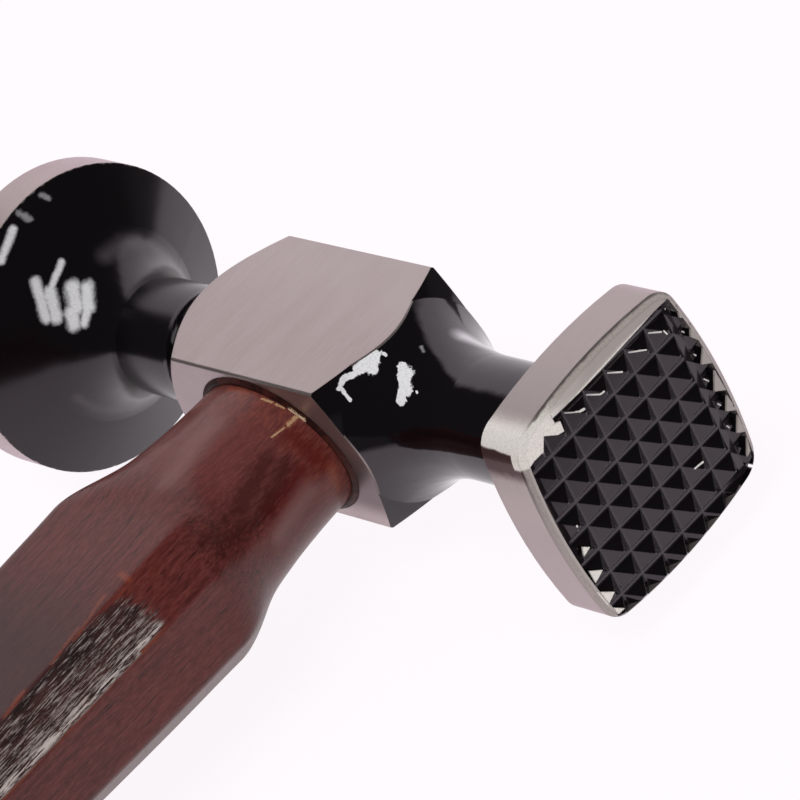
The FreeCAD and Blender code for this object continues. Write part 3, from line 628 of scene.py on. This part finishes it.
# Worn places and painted light: the worn wood at the eye's mouth, a painted sheen from the swell below the
# neck up, painted shade on the facet on top, and the worn edges between the facets.
MOUTH_Y = (-17.0, -11.0)
MOUTH_TATTER = 8.0
MOUTH_FLECKS = (0.45, 0.62)
# Where the painted sheen on the neck starts, and where the painted shade lies on the top facet.
NECK_Y = (-36.0, -26.0)
TOP_FACET_Y = (-46.0, -64.0)
TOP_FACET_Z = (9.0, 10.0)
EDGE_WEAR = (0.66, 0.95)
EDGE_SHARE = 0.5
EDGE_TATTER = 1.9
# The bevel that is rubbed to bare fibres, with painted highlights in its bare streaks and along its ridge,
# a fringe at its start and a lip along its lower edge. Across the bevel, zero is one edge and one is the
# other.
RUBBED_X = (4.0, 6.0)
RUBBED_Z = (0.0, 3.0)
RUBBED_FROM_Y = 51.0
RUBBED_SLANT = 0.046
RUBBED_TATTER = 0.9
RUBBED_START = (-0.95, -0.55)
RUBBED_START_Y = (-44.0, -47.0)
RUBBED_START_TATTER = 10.0
RUBBED_END_Y = (-160.0, -120.0)
RUBBED_END_TATTER = 30.0
FRINGE_START = (-1.5, -1.05)
FRINGE_END = (-0.65, -0.9)
FRINGE_TATTER = (0.42, 0.56)
FRINGE_Y = (-42.0, -50.0)
LIP_START = (0.90, 0.98)
LIP_END = (1.12, 1.02)
LIP_TATTER = (0.35, 0.5)
RIDGE_START = (0.55, 0.80)
RIDGE_END = (1.00, 0.90)
RIDGE_STREAKS = (0.44, 0.56)
BARE_AND_HIGHLIGHT_STREAKS = (0.485, 0.60)
BARE_AND_HIGHLIGHT_SLANT = 0.035
WORN_TATTER = (0.4, 0.6)

# The handle's colours, among them painted reflections, sheen, shade, highlights and glints.
RED_BROWN = ((0.068, 0.0120, 0.0105), (0.135, 0.0280, 0.0245))
# The painted dark reflections of the unlit room.
DARK_REFLECTION_COLOURS = ((0.055, 0.006, 0.005), (0.026, 0.005, 0.005))
WORN_THROUGH = ((0.013, 0.009, 0.009), (0.042, 0.018, 0.017))
# Bare fibres, painted lighter as highlights, lightest along the ridge.
BARE_FIBRES_AND_HIGHLIGHTS = ((0.34, 0.285, 0.27), (0.64, 0.56, 0.53))
BLOTCH_COAT = (0.5, (0.120, 0.0170, 0.0130))
PALE_FLECK_COAT = (0.5, (0.19, 0.050, 0.043))
DARK_FLECK_COAT = (0.5, (0.045, 0.007, 0.006))
PORE_COAT = (0.7, (0.016, 0.004, 0.003))
CRACK_COAT = (0.75, (0.014, 0.003, 0.003))
MOUTH_COAT = (0.6, (0.26, 0.055, 0.022))
# A painted sheen on the neck and painted shade on the top facet.
NECK_PAINTED_SHEEN = (0.35, (0.22, 0.070, 0.064))
TOP_FACET_PAINTED_SHADE = (0.75, (0.036, 0.012, 0.013))
EDGE_COAT = (0.4, (0.24, 0.050, 0.020))
# A painted deep red reflection, a painted sheen, worn lines and the glue's painted glints.
RED_REFLECTION_COAT = (0.75, (0.105, 0.007, 0.005))
PAINTED_SHEEN_COAT = (0.35, (0.27, 0.15, 0.145))
WORN_LINE_COAT = (0.55, (0.27, 0.055, 0.023))
GLUE_GLINT_COAT = (0.75, (0.62, 0.38, 0.21))
FRINGE_COAT = (0.6, (0.21, 0.036, 0.016))
LIP_COAT = (0.7, (0.20, 0.050, 0.026))
# Shares of the painted dark reflections, the worn-through lacquer, and the bare fibres with painted
# highlights.
DARK_REFLECTION_SHARE = 0.68
WORN_THROUGH_SHARE = 0.9
BARE_FIBRE_HIGHLIGHT_SHARE = 0.8

RELIEF_SHARES = (0.3, 0.3, -0.5, 0.3)
RELIEF_DEPTH = 0.00005
RELIEF_STRENGTH = 0.8
WOOD_GLOSS = {"Roughness": 0.6, "Specular IOR Level": 0.1, "Coat Weight": 0.5, "Coat Roughness": 0.2}


def rubbed_bevel(n, colour, y, facet, tatter, streak):
    """One bevel rubbed through the lacquer to dark and bare fibres, painted lighter as highlights."""
    across = n.attribute("across")
    start = n.plus(across, n.times(n.plus(y, RUBBED_FROM_Y), -RUBBED_SLANT), n.swing(tatter, RUBBED_TATTER))
    below = n.step(n.plus(y, n.times(tatter, RUBBED_START_TATTER)), RUBBED_START_Y)
    before_end = n.step(n.plus(y, n.times(tatter, RUBBED_END_TATTER)), RUBBED_END_Y)
    bevel = n.times(n.attribute("bevel"), *facet)
    rubbed = n.times(bevel, n.step(start, RUBBED_START), below, before_end)
    fringe = n.times(bevel, n.step(start, FRINGE_START), n.step(start, FRINGE_END),
                     n.step(tatter, FRINGE_TATTER), n.step(y, FRINGE_Y))
    colour = n.coat(colour, fringe, FRINGE_COAT)
    lip = n.times(n.step(across, LIP_START), n.step(across, LIP_END), facet[1], below,
                  n.step(tatter, LIP_TATTER))
    colour = n.coat(colour, lip, LIP_COAT)
    ridge = n.times(rubbed, n.step(across, RIDGE_START), n.step(across, RIDGE_END))
    # Bare fibres in streaks and along the ridge, painted lighter as highlights.
    bare = n.times(rubbed, n.step(n.plus(streak, n.times(across, BARE_AND_HIGHLIGHT_SLANT)), BARE_AND_HIGHLIGHT_STREAKS))
    bare = n.most(bare, n.times(ridge, n.step(streak, RIDGE_STREAKS)))
    worn_through = n.mix(n.step(tatter, WORN_TATTER), *WORN_THROUGH)
    colour = n.coat(colour, rubbed, (WORN_THROUGH_SHARE, worn_through))
    return n.coat(colour, bare, (BARE_FIBRE_HIGHLIGHT_SHARE, n.mix(ridge, *BARE_FIBRES_AND_HIGHLIGHTS)))


def wood():
    """Dark red-brown lacquer over fine open-pored wood, worn to orange here and there along the facets,
    with painted reflections, sheen, shade, highlights and glints.
    """
    n = MaterialNodes("lacquered_hardwood")
    x, y, z = n.millimetres()
    swirl = n.grain(*SWAY_NOISE)
    sway = n.add("ShaderNodeCombineXYZ", {0: n.times(swirl, SWAY[0]), 2: n.times(swirl, SWAY[1])})
    warped = n.add("ShaderNodeVectorMath", {0: n.stretched(FIBRE_SCALES), 1: sway}, operation="ADD")
    fibres = n.noise(1.0, *FIBRE_DETAIL, vector=warped)
    mottle = n.grain(*MOTTLE_NOISE)
    blotch = n.grain(*BLOTCH_NOISE)
    pores = n.step(n.grain(*PORE_NOISE), PORE_CONTRAST)
    tatter = n.grain(*TATTER_NOISE)
    streak = n.grain(*STREAK_NOISE)
    fray = n.swing(n.noise(*FRAY_NOISE), WOOD_FRAY)
    torn = n.plus(n.swing(tatter, TORN_BY_TATTER), n.swing(mottle, TORN_BY_MOTTLE))

    colour = n.mix(n.step(fibres, FIBRE_CONTRAST), *RED_BROWN)
    colour = n.coat(colour, n.step(blotch, BLOTCH_CONTRAST), BLOTCH_COAT)
    colour = n.coat(colour, n.step(mottle, PALE_FLECKS), PALE_FLECK_COAT)
    colour = n.coat(colour, n.step(mottle, DARK_FLECKS), DARK_FLECK_COAT)
    colour = n.coat(colour, pores, PORE_COAT)
    line = n.size(n.centred(n.grain(*CRACK_NOISE)))
    crack = n.times(n.step(line, CRACK_WIDTH), n.step(blotch, CRACK_BLOTCHES))
    colour = n.coat(colour, crack, CRACK_COAT)
    mouth = n.step(n.plus(y, n.times(tatter, MOUTH_TATTER)), MOUTH_Y)
    colour = n.coat(colour, n.times(mouth, n.step(mottle, MOUTH_FLECKS)), MOUTH_COAT)
    # A painted sheen on the neck and painted shade on the top facet further down.
    colour = n.coat(colour, n.step(y, NECK_Y), NECK_PAINTED_SHEEN)
    colour = n.coat(colour, n.times(n.step(y, TOP_FACET_Y), n.step(z, TOP_FACET_Z)), TOP_FACET_PAINTED_SHADE)
    edge = n.plus(n.times(n.attribute("edge"), EDGE_SHARE), n.swing(tatter, EDGE_TATTER))
    colour = n.coat(colour, n.step(edge, EDGE_WEAR), EDGE_COAT)

    # Painted deep red and dark reflections of the unlit room, and a painted sheen.
    colour = n.coat(colour, strokes(n, "handle", PAINTED_RED_REFLECTIONS, torn, SOFT_PAINT_STROKE), RED_REFLECTION_COAT)
    dark_reflections = strokes(n, "handle", PAINTED_DARK_REFLECTIONS, torn, SOFT_PAINT_STROKE)
    colour = n.coat(colour, dark_reflections, (DARK_REFLECTION_SHARE, n.mix(blotch, *DARK_REFLECTION_COLOURS)))
    # Spots of painted sheen.
    colour = n.coat(colour, strokes(n, "handle", PAINTED_SHEEN_SPOTS, torn, SOFT_PAINT_STROKE), PAINTED_SHEEN_COAT)
    worn_lines = strokes(n, "handle", WORN_LINES, n.plus(fray, torn), LINE_STROKE)
    colour = n.coat(colour, worn_lines, WORN_LINE_COAT)
    # The glue's painted glints.
    colour = n.coat(colour, strokes(n, "handle", GLUE_GLINTS, fray, GLUE_STROKE), GLUE_GLINT_COAT)
    facet = (n.step(x, RUBBED_X), n.step(z, RUBBED_Z))
    colour = rubbed_bevel(n, colour, y, facet, tatter, streak)

    relief = n.plus(*(n.times(*pair) for pair in zip((fibres, mottle, pores, streak), RELIEF_SHARES)))
    bumps = n.bump(relief, RELIEF_DEPTH, RELIEF_STRENGTH)
    return n.surface({"Base Color": colour, "Normal": bumps, "Coat Normal": bumps, **WOOD_GLOSS})


# The bead of glue: its lumps, its colours and its painted glint.
LUMP_NOISE = (420.0, 4.0, 0.65)
LUMP_CONTRAST = (0.4, 0.6)
LUMP_DEPTH = 0.0004
LUMP_STRENGTH = 0.6
DARK_GLUE = ((0.020, 0.0045, 0.0035), (0.052, 0.010, 0.007))
BEAD_GLINT_COLOUR = (0.76, 0.55, 0.36)
GLUE_GLOSS = {"Roughness": 0.55, "Specular IOR Level": 0.2}


def glue():
    """Dark hard glue in the eye's mouth with a painted amber glint."""
    n = MaterialNodes("amber_glue")
    lump = n.noise(*LUMP_NOISE)
    fray = n.swing(n.noise(*FRAY_NOISE), BEAD_FRAY)
    # A painted glint on the bead.
    glint = strokes(n, "eye_glue_bead", BEAD_GLINT, fray, BEAD_STROKE)
    colour = n.mix(glint, n.mix(n.step(lump, LUMP_CONTRAST), *DARK_GLUE), BEAD_GLINT_COLOUR)
    bumps = n.bump(lump, LUMP_DEPTH, LUMP_STRENGTH)
    return n.surface({"Base Color": colour, "Normal": bumps, **GLUE_GLOSS})


BARE_HARDWOOD = (0.5, 0.3, 0.17)
BARE_HARDWOOD_ROUGHNESS = 0.7
WEDGE_STEEL = (0.5, 0.49, 0.48)
WEDGE_STEEL_ROUGHNESS = 0.35
SPECKLE_SCALE = 900.0
SPECKLE_CONTRAST = (0.3, 0.7)
SPECKLE_SHADE = 0.7


def speckled(name, colour, roughness, metallic=0.0):
    """A finely speckled material for the wedges."""
    n = MaterialNodes(name)
    speckle = n.step(n.noise(SPECKLE_SCALE), SPECKLE_CONTRAST)
    shaded = n.mix(speckle, colour, tuple(value * SPECKLE_SHADE for value in colour))
    return n.surface({"Base Color": shaded, "Roughness": roughness, "Metallic": metallic})


def new_object(name, data):
    thing = bpy.data.objects.new(name, data)
    bpy.context.scene.collection.objects.link(thing)
    return thing


# Where the rim's flat land reaches in over the pyramids, as outlines in pixels of the photograph. The
# first one is closed by a line on the rim, in millimetres along y and z.
LAND_EDGE = (
    (666.0, 300.5), (657.0, 308.0), (640.0, 327.0), (620.0, 349.0), (600.0, 371.0), (580.0, 392.0),
    (563.0, 408.5), (545.5, 425.0), (548.0, 426.5), (560.5, 421.3), (564.3, 431.3), (558.0, 435.0),
    (543.8, 436.3), (543.6, 451.9), (534.3, 461.3),
)
LAND_RIM = (
    (-15.5, 12.2), (-15.25, 13.3), (-14.95, 14.25), (-14.3, 14.8), (-12.0, 15.3), (-10.0, 15.6),
    (-8.0, 15.8), (-4.0, 16.0), (0.0, 16.1), (4.0, 16.0), (8.0, 15.8), (12.0, 15.2), (13.7, 14.7),
)
LAND_POINTS = (
    ((582.9, 547.1), (590.3, 547.1), (584.3, 556.4)), ((589.5, 571.3), (602.9, 570.0), (596.0, 583.0)),
    ((597.0, 592.2), (615.0, 591.9), (608.4, 605.6)), ((612.5, 607.8), (625.0, 608.3), (619.0, 614.0)),
    ((677.0, 305.0), (680.0, 318.0), (685.0, 317.5)), ((690.8, 323.0), (691.0, 337.0), (701.0, 341.2)),
    ((703.3, 347.0), (702.0, 364.5), (713.0, 363.0)), ((714.7, 370.0), (715.0, 391.5), (726.5, 390.0)),
    ((727.0, 395.0), (726.7, 411.5), (737.5, 410.0)), ((737.8, 415.0), (737.5, 433.0), (746.0, 431.5)),
    ((747.3, 437.0), (747.5, 457.0), (750.5, 451.0)),
)
LAND_FOOT = 59.3
LAND_TOP = 60.895


def on_land(column, row):
    """Where a pixel of the photograph meets the plane of the land, in millimetres along y and z."""
    ray, start = pixel_ray(column, row), Vector(CAMERA_PLACE)
    place = start + ray * (((LAND_TOP + EYE_MIDDLE[0]) * MM - start.x) / ray.x)
    return place.y / MM - EYE_MIDDLE[1], place.z / MM - EYE_MIDDLE[2]


def make_land(material):
    """The flat land between the rim and the pyramids, as upright slabs on the plate."""
    outlines = [[on_land(*pixel) for pixel in LAND_EDGE] + list(LAND_RIM)]
    outlines += [[on_land(*pixel) for pixel in outline] for outline in LAND_POINTS]
    shape = bmesh.new()
    for outline in outlines:
        foot, top = [[shape.verts.new((Vector((x, y, z)) + Vector(EYE_MIDDLE)) * MM) for y, z in outline]
                     for x in (LAND_FOOT, LAND_TOP)]
        shape.faces.new(foot)
        shape.faces.new(top)
        for index in range(len(outline)):
            shape.faces.new((foot[index - 1], foot[index], top[index], top[index - 1]))
    bmesh.ops.recalc_face_normals(shape, faces=shape.faces)
    mesh = bpy.data.meshes.new("land_shape")
    shape.to_mesh(mesh)
    shape.free()
    mesh.attributes.new("bare", "FLOAT", "POINT").data.foreach_set("value", [1.0] * len(mesh.vertices))
    thing = new_object("rim_land", mesh)
    thing.data.materials.append(material)
    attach(thing, "root")


# Stations of the handle as in the part's source: the distance below the head's axis, then half length
# along the head, half width across the cheeks and the leg of the corner bevels.
STATIONS = (
    (26.0, 17.0, 13.4, 5.5), (32.0, 17.6, 12.4, 5.6), (38.0, 17.9, 11.5, 5.6), (44.0, 17.8, 11.25, 5.6),
    (50.0, 17.7, 11.1, 5.5), (80.0, 16.8, 10.1, 4.9), (110.0, 16.3, 9.9, 4.8), (140.0, 16.0, 9.9, 4.8),
    (180.0, 16.4, 10.4, 5.0), (220.0, 17.2, 11.1, 5.3), (260.0, 17.5, 11.4, 5.4), (298.0, 16.8, 11.0, 5.2),
)
# Ovals of its tenon and neck: the distance below the head's axis and the two half sizes.
OVALS = (
    (-14.1, 13.98, 11.18), (0.0, 13.18, 10.63), (14.1, 13.72, 11.06), (20.0, 13.65, 11.45),
    (26.0, 14.1, 11.95), (32.0, 15.2, 12.9), (38.0, 18.2, 15.4), (44.0, 23.0, 19.5), (50.0, 30.0, 26.0),
)
# The mesh's rings: the distances below the head's axis where their spacing changes, the spacings, the
# rings of the chamfered end, and the points on each ring.
HANDLE_TOP = -13.75
FINE_START = 10.0
FINE_END = 62.0
BODY_END = 298.0
TENON_RING = 2.0
FINE_RING = 0.4
BODY_RING = 1.2
END_RINGS = (298.0, 298.7, 299.4, 300.0)
TURNS = 288
# How far edges are rounded off, what is added to a radius that doesn't count, and how sharply the masks
# of the facets and their edges end.
FACET_ROUNDING = 0.7
NECK_ROUNDING = 2.4
OUT_OF_REACH = 30.0
FACET_SHARPNESS = 4.0
EDGE_FALL = 1.6
LEAST_SHARE = 1e-4


def through(stations, reach):
    """Smooth values between stations, by a cubic whose slopes follow the neighbours."""
    table = np.array(stations)
    places, values = table[:, 0], table[:, 1:]
    slopes = np.gradient(values, places, axis=0)
    index = int(np.clip(np.searchsorted(places, reach) - 1, 0, len(places) - 2))
    span = places[index + 1] - places[index]
    t = (np.clip(reach, places[0], places[-1]) - places[index]) / span
    from_value, to_value = 2 * t ** 3 - 3 * t ** 2 + 1, 3 * t ** 2 - 2 * t ** 3
    from_slope, to_slope = t ** 3 - 2 * t ** 2 + t, t ** 3 - t ** 2
    return (from_value * values[index] + from_slope * span * slopes[index]
            + to_value * values[index + 1] + to_slope * span * slopes[index + 1])


def handle_rings():
    """How far below the head's axis each ring of the handle's mesh lies: close together on the neck."""
    return np.concatenate((np.arange(HANDLE_TOP, FINE_START, TENON_RING),
                           np.arange(FINE_START, FINE_END, FINE_RING),
                           np.arange(FINE_END, BODY_END, BODY_RING), END_RINGS))


def soft_least(first, second, width):
    """The lesser of two values, rounded off where they differ by less than a width."""
    near = np.maximum(width - np.abs(first - second), 0.0) / width
    return np.minimum(first, second) - near ** 2 * width / 4


def make_handle():
    """The handle as one fine mesh: facets and turned neck meet in rounded edges."""
    turns = np.linspace(0, 2 * math.pi, TURNS, endpoint=False)
    cosine, sine = np.abs(np.cos(turns)), np.abs(np.sin(turns))
    body_start, neck_end = STATIONS[0][0], OVALS[-1][0]
    places, edges, bevels, acrosses = [], [], [], []
    for reach in handle_rings():
        length, width, leg = through(STATIONS, min(reach, BODY_END))
        shrink = max(reach - BODY_END, 0.0)
        length, width = length - shrink, width - shrink
        oval_length, oval_width = through(OVALS, reach)
        sides = np.array([length / np.maximum(cosine, LEAST_SHARE), width / np.maximum(sine, LEAST_SHARE),
                          (length + width - leg) / (cosine + sine)])
        ordered = np.sort(sides, axis=0)
        radius = soft_least(soft_least(sides[0], sides[1], FACET_ROUNDING), sides[2], FACET_ROUNDING)
        if reach < body_start:
            radius = radius + OUT_OF_REACH
        oval = 1 / np.sqrt((cosine / oval_length) ** 2 + (sine / oval_width) ** 2)
        if reach > neck_end:
            oval = oval + OUT_OF_REACH
        faceted = 1 / (1 + np.exp(FACET_SHARPNESS * (radius - oval)))
        edges.append(np.exp(-EDGE_FALL * (ordered[1] - ordered[0])) * faceted)
        bevels.append((sides.argmin(axis=0) == 2) * faceted)
        radius = soft_least(radius, oval, NECK_ROUNDING)
        along, up = radius * np.cos(turns), radius * np.sin(turns)
        acrosses.append((along - up - (length - width)) / leg)
        places.append(np.stack([along, np.full(TURNS, -reach), up], 1))

    points = (np.concatenate(places) + np.array(EYE_MIDDLE)) * MM
    last = (len(places) - 1) * TURNS
    faces = [(start + turn, start + (turn + 1) % TURNS,
              start + TURNS + (turn + 1) % TURNS, start + TURNS + turn)
             for start in range(0, last, TURNS) for turn in range(TURNS)]
    faces.append(tuple(reversed(range(TURNS))))
    faces.append(tuple(range(last, last + TURNS)))
    mesh = bpy.data.meshes.new("handle_shape")
    mesh.from_pydata([tuple(point) for point in points], [], faces)
    for name, values in (("edge", edges), ("bevel", bevels), ("across", acrosses)):
        layer = mesh.attributes.new(name, "FLOAT", "POINT")
        layer.data.foreach_set("value", np.concatenate(values).astype(np.float32))
    mesh.polygons.foreach_set("use_smooth", [len(face) == 4 for face in faces])
    mesh.update()
    thing = new_object("lacquered_handle", mesh)
    thing.data.materials.append(wood())
    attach(thing, "root")
    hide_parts("handle")


# The studio: a white sheet for floor and backdrop. Reflections see it only as far as this towards the
# camera's side, in metres from the origin, and not past the far end behind the disc.
SHEET_DIRECTION = (0.643, -0.766, 0.0)
SHEET_END = (-0.03, 0.03)
FAR_END_Y = (0.26, 0.29)
FAR_END_X = (-0.05, -0.02)
FLOOR_SIZE = 30.0
FLOOR_COLOUR = (0.9, 0.87, 0.91)
FLOOR_WHITE_SHARE = 0.9
BACKDROP = (1.0, 0.955, 0.985)
BACKDROP_LEVEL = 1.05
# Above it, reflections see a white backdrop on one side and the unlit rest of the room: the direction of
# the backdrop's middle and the sines of how far it reaches to each side and up or down.
WHITE_MIDDLE = (-134.0, 12.0)
WHITE_SPAN_SHARE = 0.82
WHITE_RISE_SHARE = 0.64
WHITE_EDGE = (1.15, 0.85)
WHITE_SIDE = (-0.05, 0.05)
DARK_LEVEL = 0.05
ROOM_LIGHT = (1.0, 0.985, 0.98)
ROOM_LEVEL = 0.5


def stage_material():
    """A pale floor that keeps the shadow and that the camera sees as almost white."""
    n = MaterialNodes("stage")
    seen, glossy = n.seen_or_mirrored()
    x, y, z = n.parts(n.place)
    near_end = n.step(n.dot(n.place, SHEET_DIRECTION), SHEET_END)
    far_end = n.times(n.step(y, FAR_END_Y), n.step(x, FAR_END_X))
    dark = n.times(glossy, n.most(near_end, far_end))
    lit = n.add("ShaderNodeBsdfDiffuse", {"Color": FLOOR_COLOUR})
    strength = n.times(BACKDROP_LEVEL, n.flip(n.times(dark, 1.0 - DARK_LEVEL)))
    white = n.add("ShaderNodeEmission", {"Color": BACKDROP, "Strength": strength})
    mixed = n.add("ShaderNodeMixShader", {0: n.times(seen, FLOOR_WHITE_SHARE), 1: lit, 2: white})
    n.fill(n.output.inputs["Surface"], mixed)
    return n.material


def make_stage():
    bpy.ops.mesh.primitive_plane_add(size=FLOOR_SIZE, location=(0.0, 0.0, 0.0))
    floor = bpy.context.active_object
    floor.name = "floor"
    floor.data.materials.append(stage_material())


def toward(azimuth, elevation):
    """The direction at an azimuth, 0 at -Y and 90 at +X, and an elevation above the horizon."""
    turn, rise = math.radians(azimuth), math.radians(elevation)
    return Vector((math.sin(turn) * math.cos(rise), -math.cos(turn) * math.cos(rise), math.sin(rise)))


def make_world():
    """Soft even light for the surfaces, a white backdrop for the camera and a part dark room for gloss."""
    world = bpy.data.worlds.new("studio")
    bpy.context.scene.world = world
    world.use_nodes = True
    n = Nodes(world.node_tree)
    seen, glossy = n.seen_or_mirrored()
    ray = n.tree.nodes.new("ShaderNodeTexCoord").outputs["Generated"]
    ahead = toward(*WHITE_MIDDLE)
    side = ahead.cross(Vector((0.0, 0.0, 1.0))).normalized()
    forward, aside, above = (n.dot(ray, tuple(axis)) for axis in (ahead, side, side.cross(ahead)))
    wide = n.times(aside, 1 / WHITE_SPAN_SHARE)
    tall = n.times(above, 1 / WHITE_RISE_SHARE)
    out = n.plus(n.times(wide, wide), n.times(tall, tall))
    white_side = n.times(n.step(out, WHITE_EDGE), n.step(forward, WHITE_SIDE))
    room = n.mix(white_side, tuple(DARK_LEVEL * value for value in BACKDROP), BACKDROP)
    lit = n.add("ShaderNodeBackground", {"Color": ROOM_LIGHT, "Strength": ROOM_LEVEL})
    white = n.add("ShaderNodeBackground", {"Color": n.mix(glossy, BACKDROP, room), "Strength": 1.0})
    output = n.tree.nodes.new("ShaderNodeOutputWorld")
    n.fill(output.inputs["Surface"], n.add("ShaderNodeMixShader", {0: seen, 1: lit, 2: white}))


HEAD_MIDDLE = (0.0, 0.1, 0.02)


def softbox(name, azimuth, elevation, distance, width, level):
    """A square lamp that points at the head. Its level is how bright it looks, where white is 1."""
    data = bpy.data.lights.new(name, "AREA")
    data.shape = "SQUARE"
    data.size = width
    data.energy = level * math.pi * width ** 2
    thing = new_object(name, data)
    target = Vector(HEAD_MIDDLE)
    thing.location = target + toward(azimuth, elevation) * distance
    thing.visible_glossy = False
    thing.rotation_euler = (target - thing.location).to_track_quat("-Z", "Y").to_euler()


def make_camera():
    data = bpy.data.cameras.new("camera")
    data.lens = CAMERA_LENS
    data.sensor_width = SENSOR_WIDTH
    data.clip_start, data.clip_end = CAMERA_CLIP
    thing = new_object("camera", data)
    right, up = Vector(CAMERA_RIGHT).normalized(), Vector(CAMERA_UP).normalized()
    turn = Matrix((right, up, right.cross(up))).transposed().to_4x4()
    thing.matrix_world = Matrix.Translation(CAMERA_PLACE) @ turn
    bpy.context.scene.camera = thing


forging = lacquered_steel()
give("hammer_head", forging)
make_land(forging)
make_handle()
give("wooden_wedge", speckled("bare_hardwood", BARE_HARDWOOD, BARE_HARDWOOD_ROUGHNESS))
wedge_steel = speckled("wedge_steel", WEDGE_STEEL, WEDGE_STEEL_ROUGHNESS, metallic=1.0)
give("steel_wedge_disc_side", wedge_steel)
give("steel_wedge_plate_side", wedge_steel)
give("eye_glue_bead", glue())
make_camera()
make_stage()
make_world()
softbox("key", azimuth=45.0, elevation=60.0, distance=1.3, width=0.6, level=6.0)

bpy.context.scene.view_settings.view_transform = "Standard"
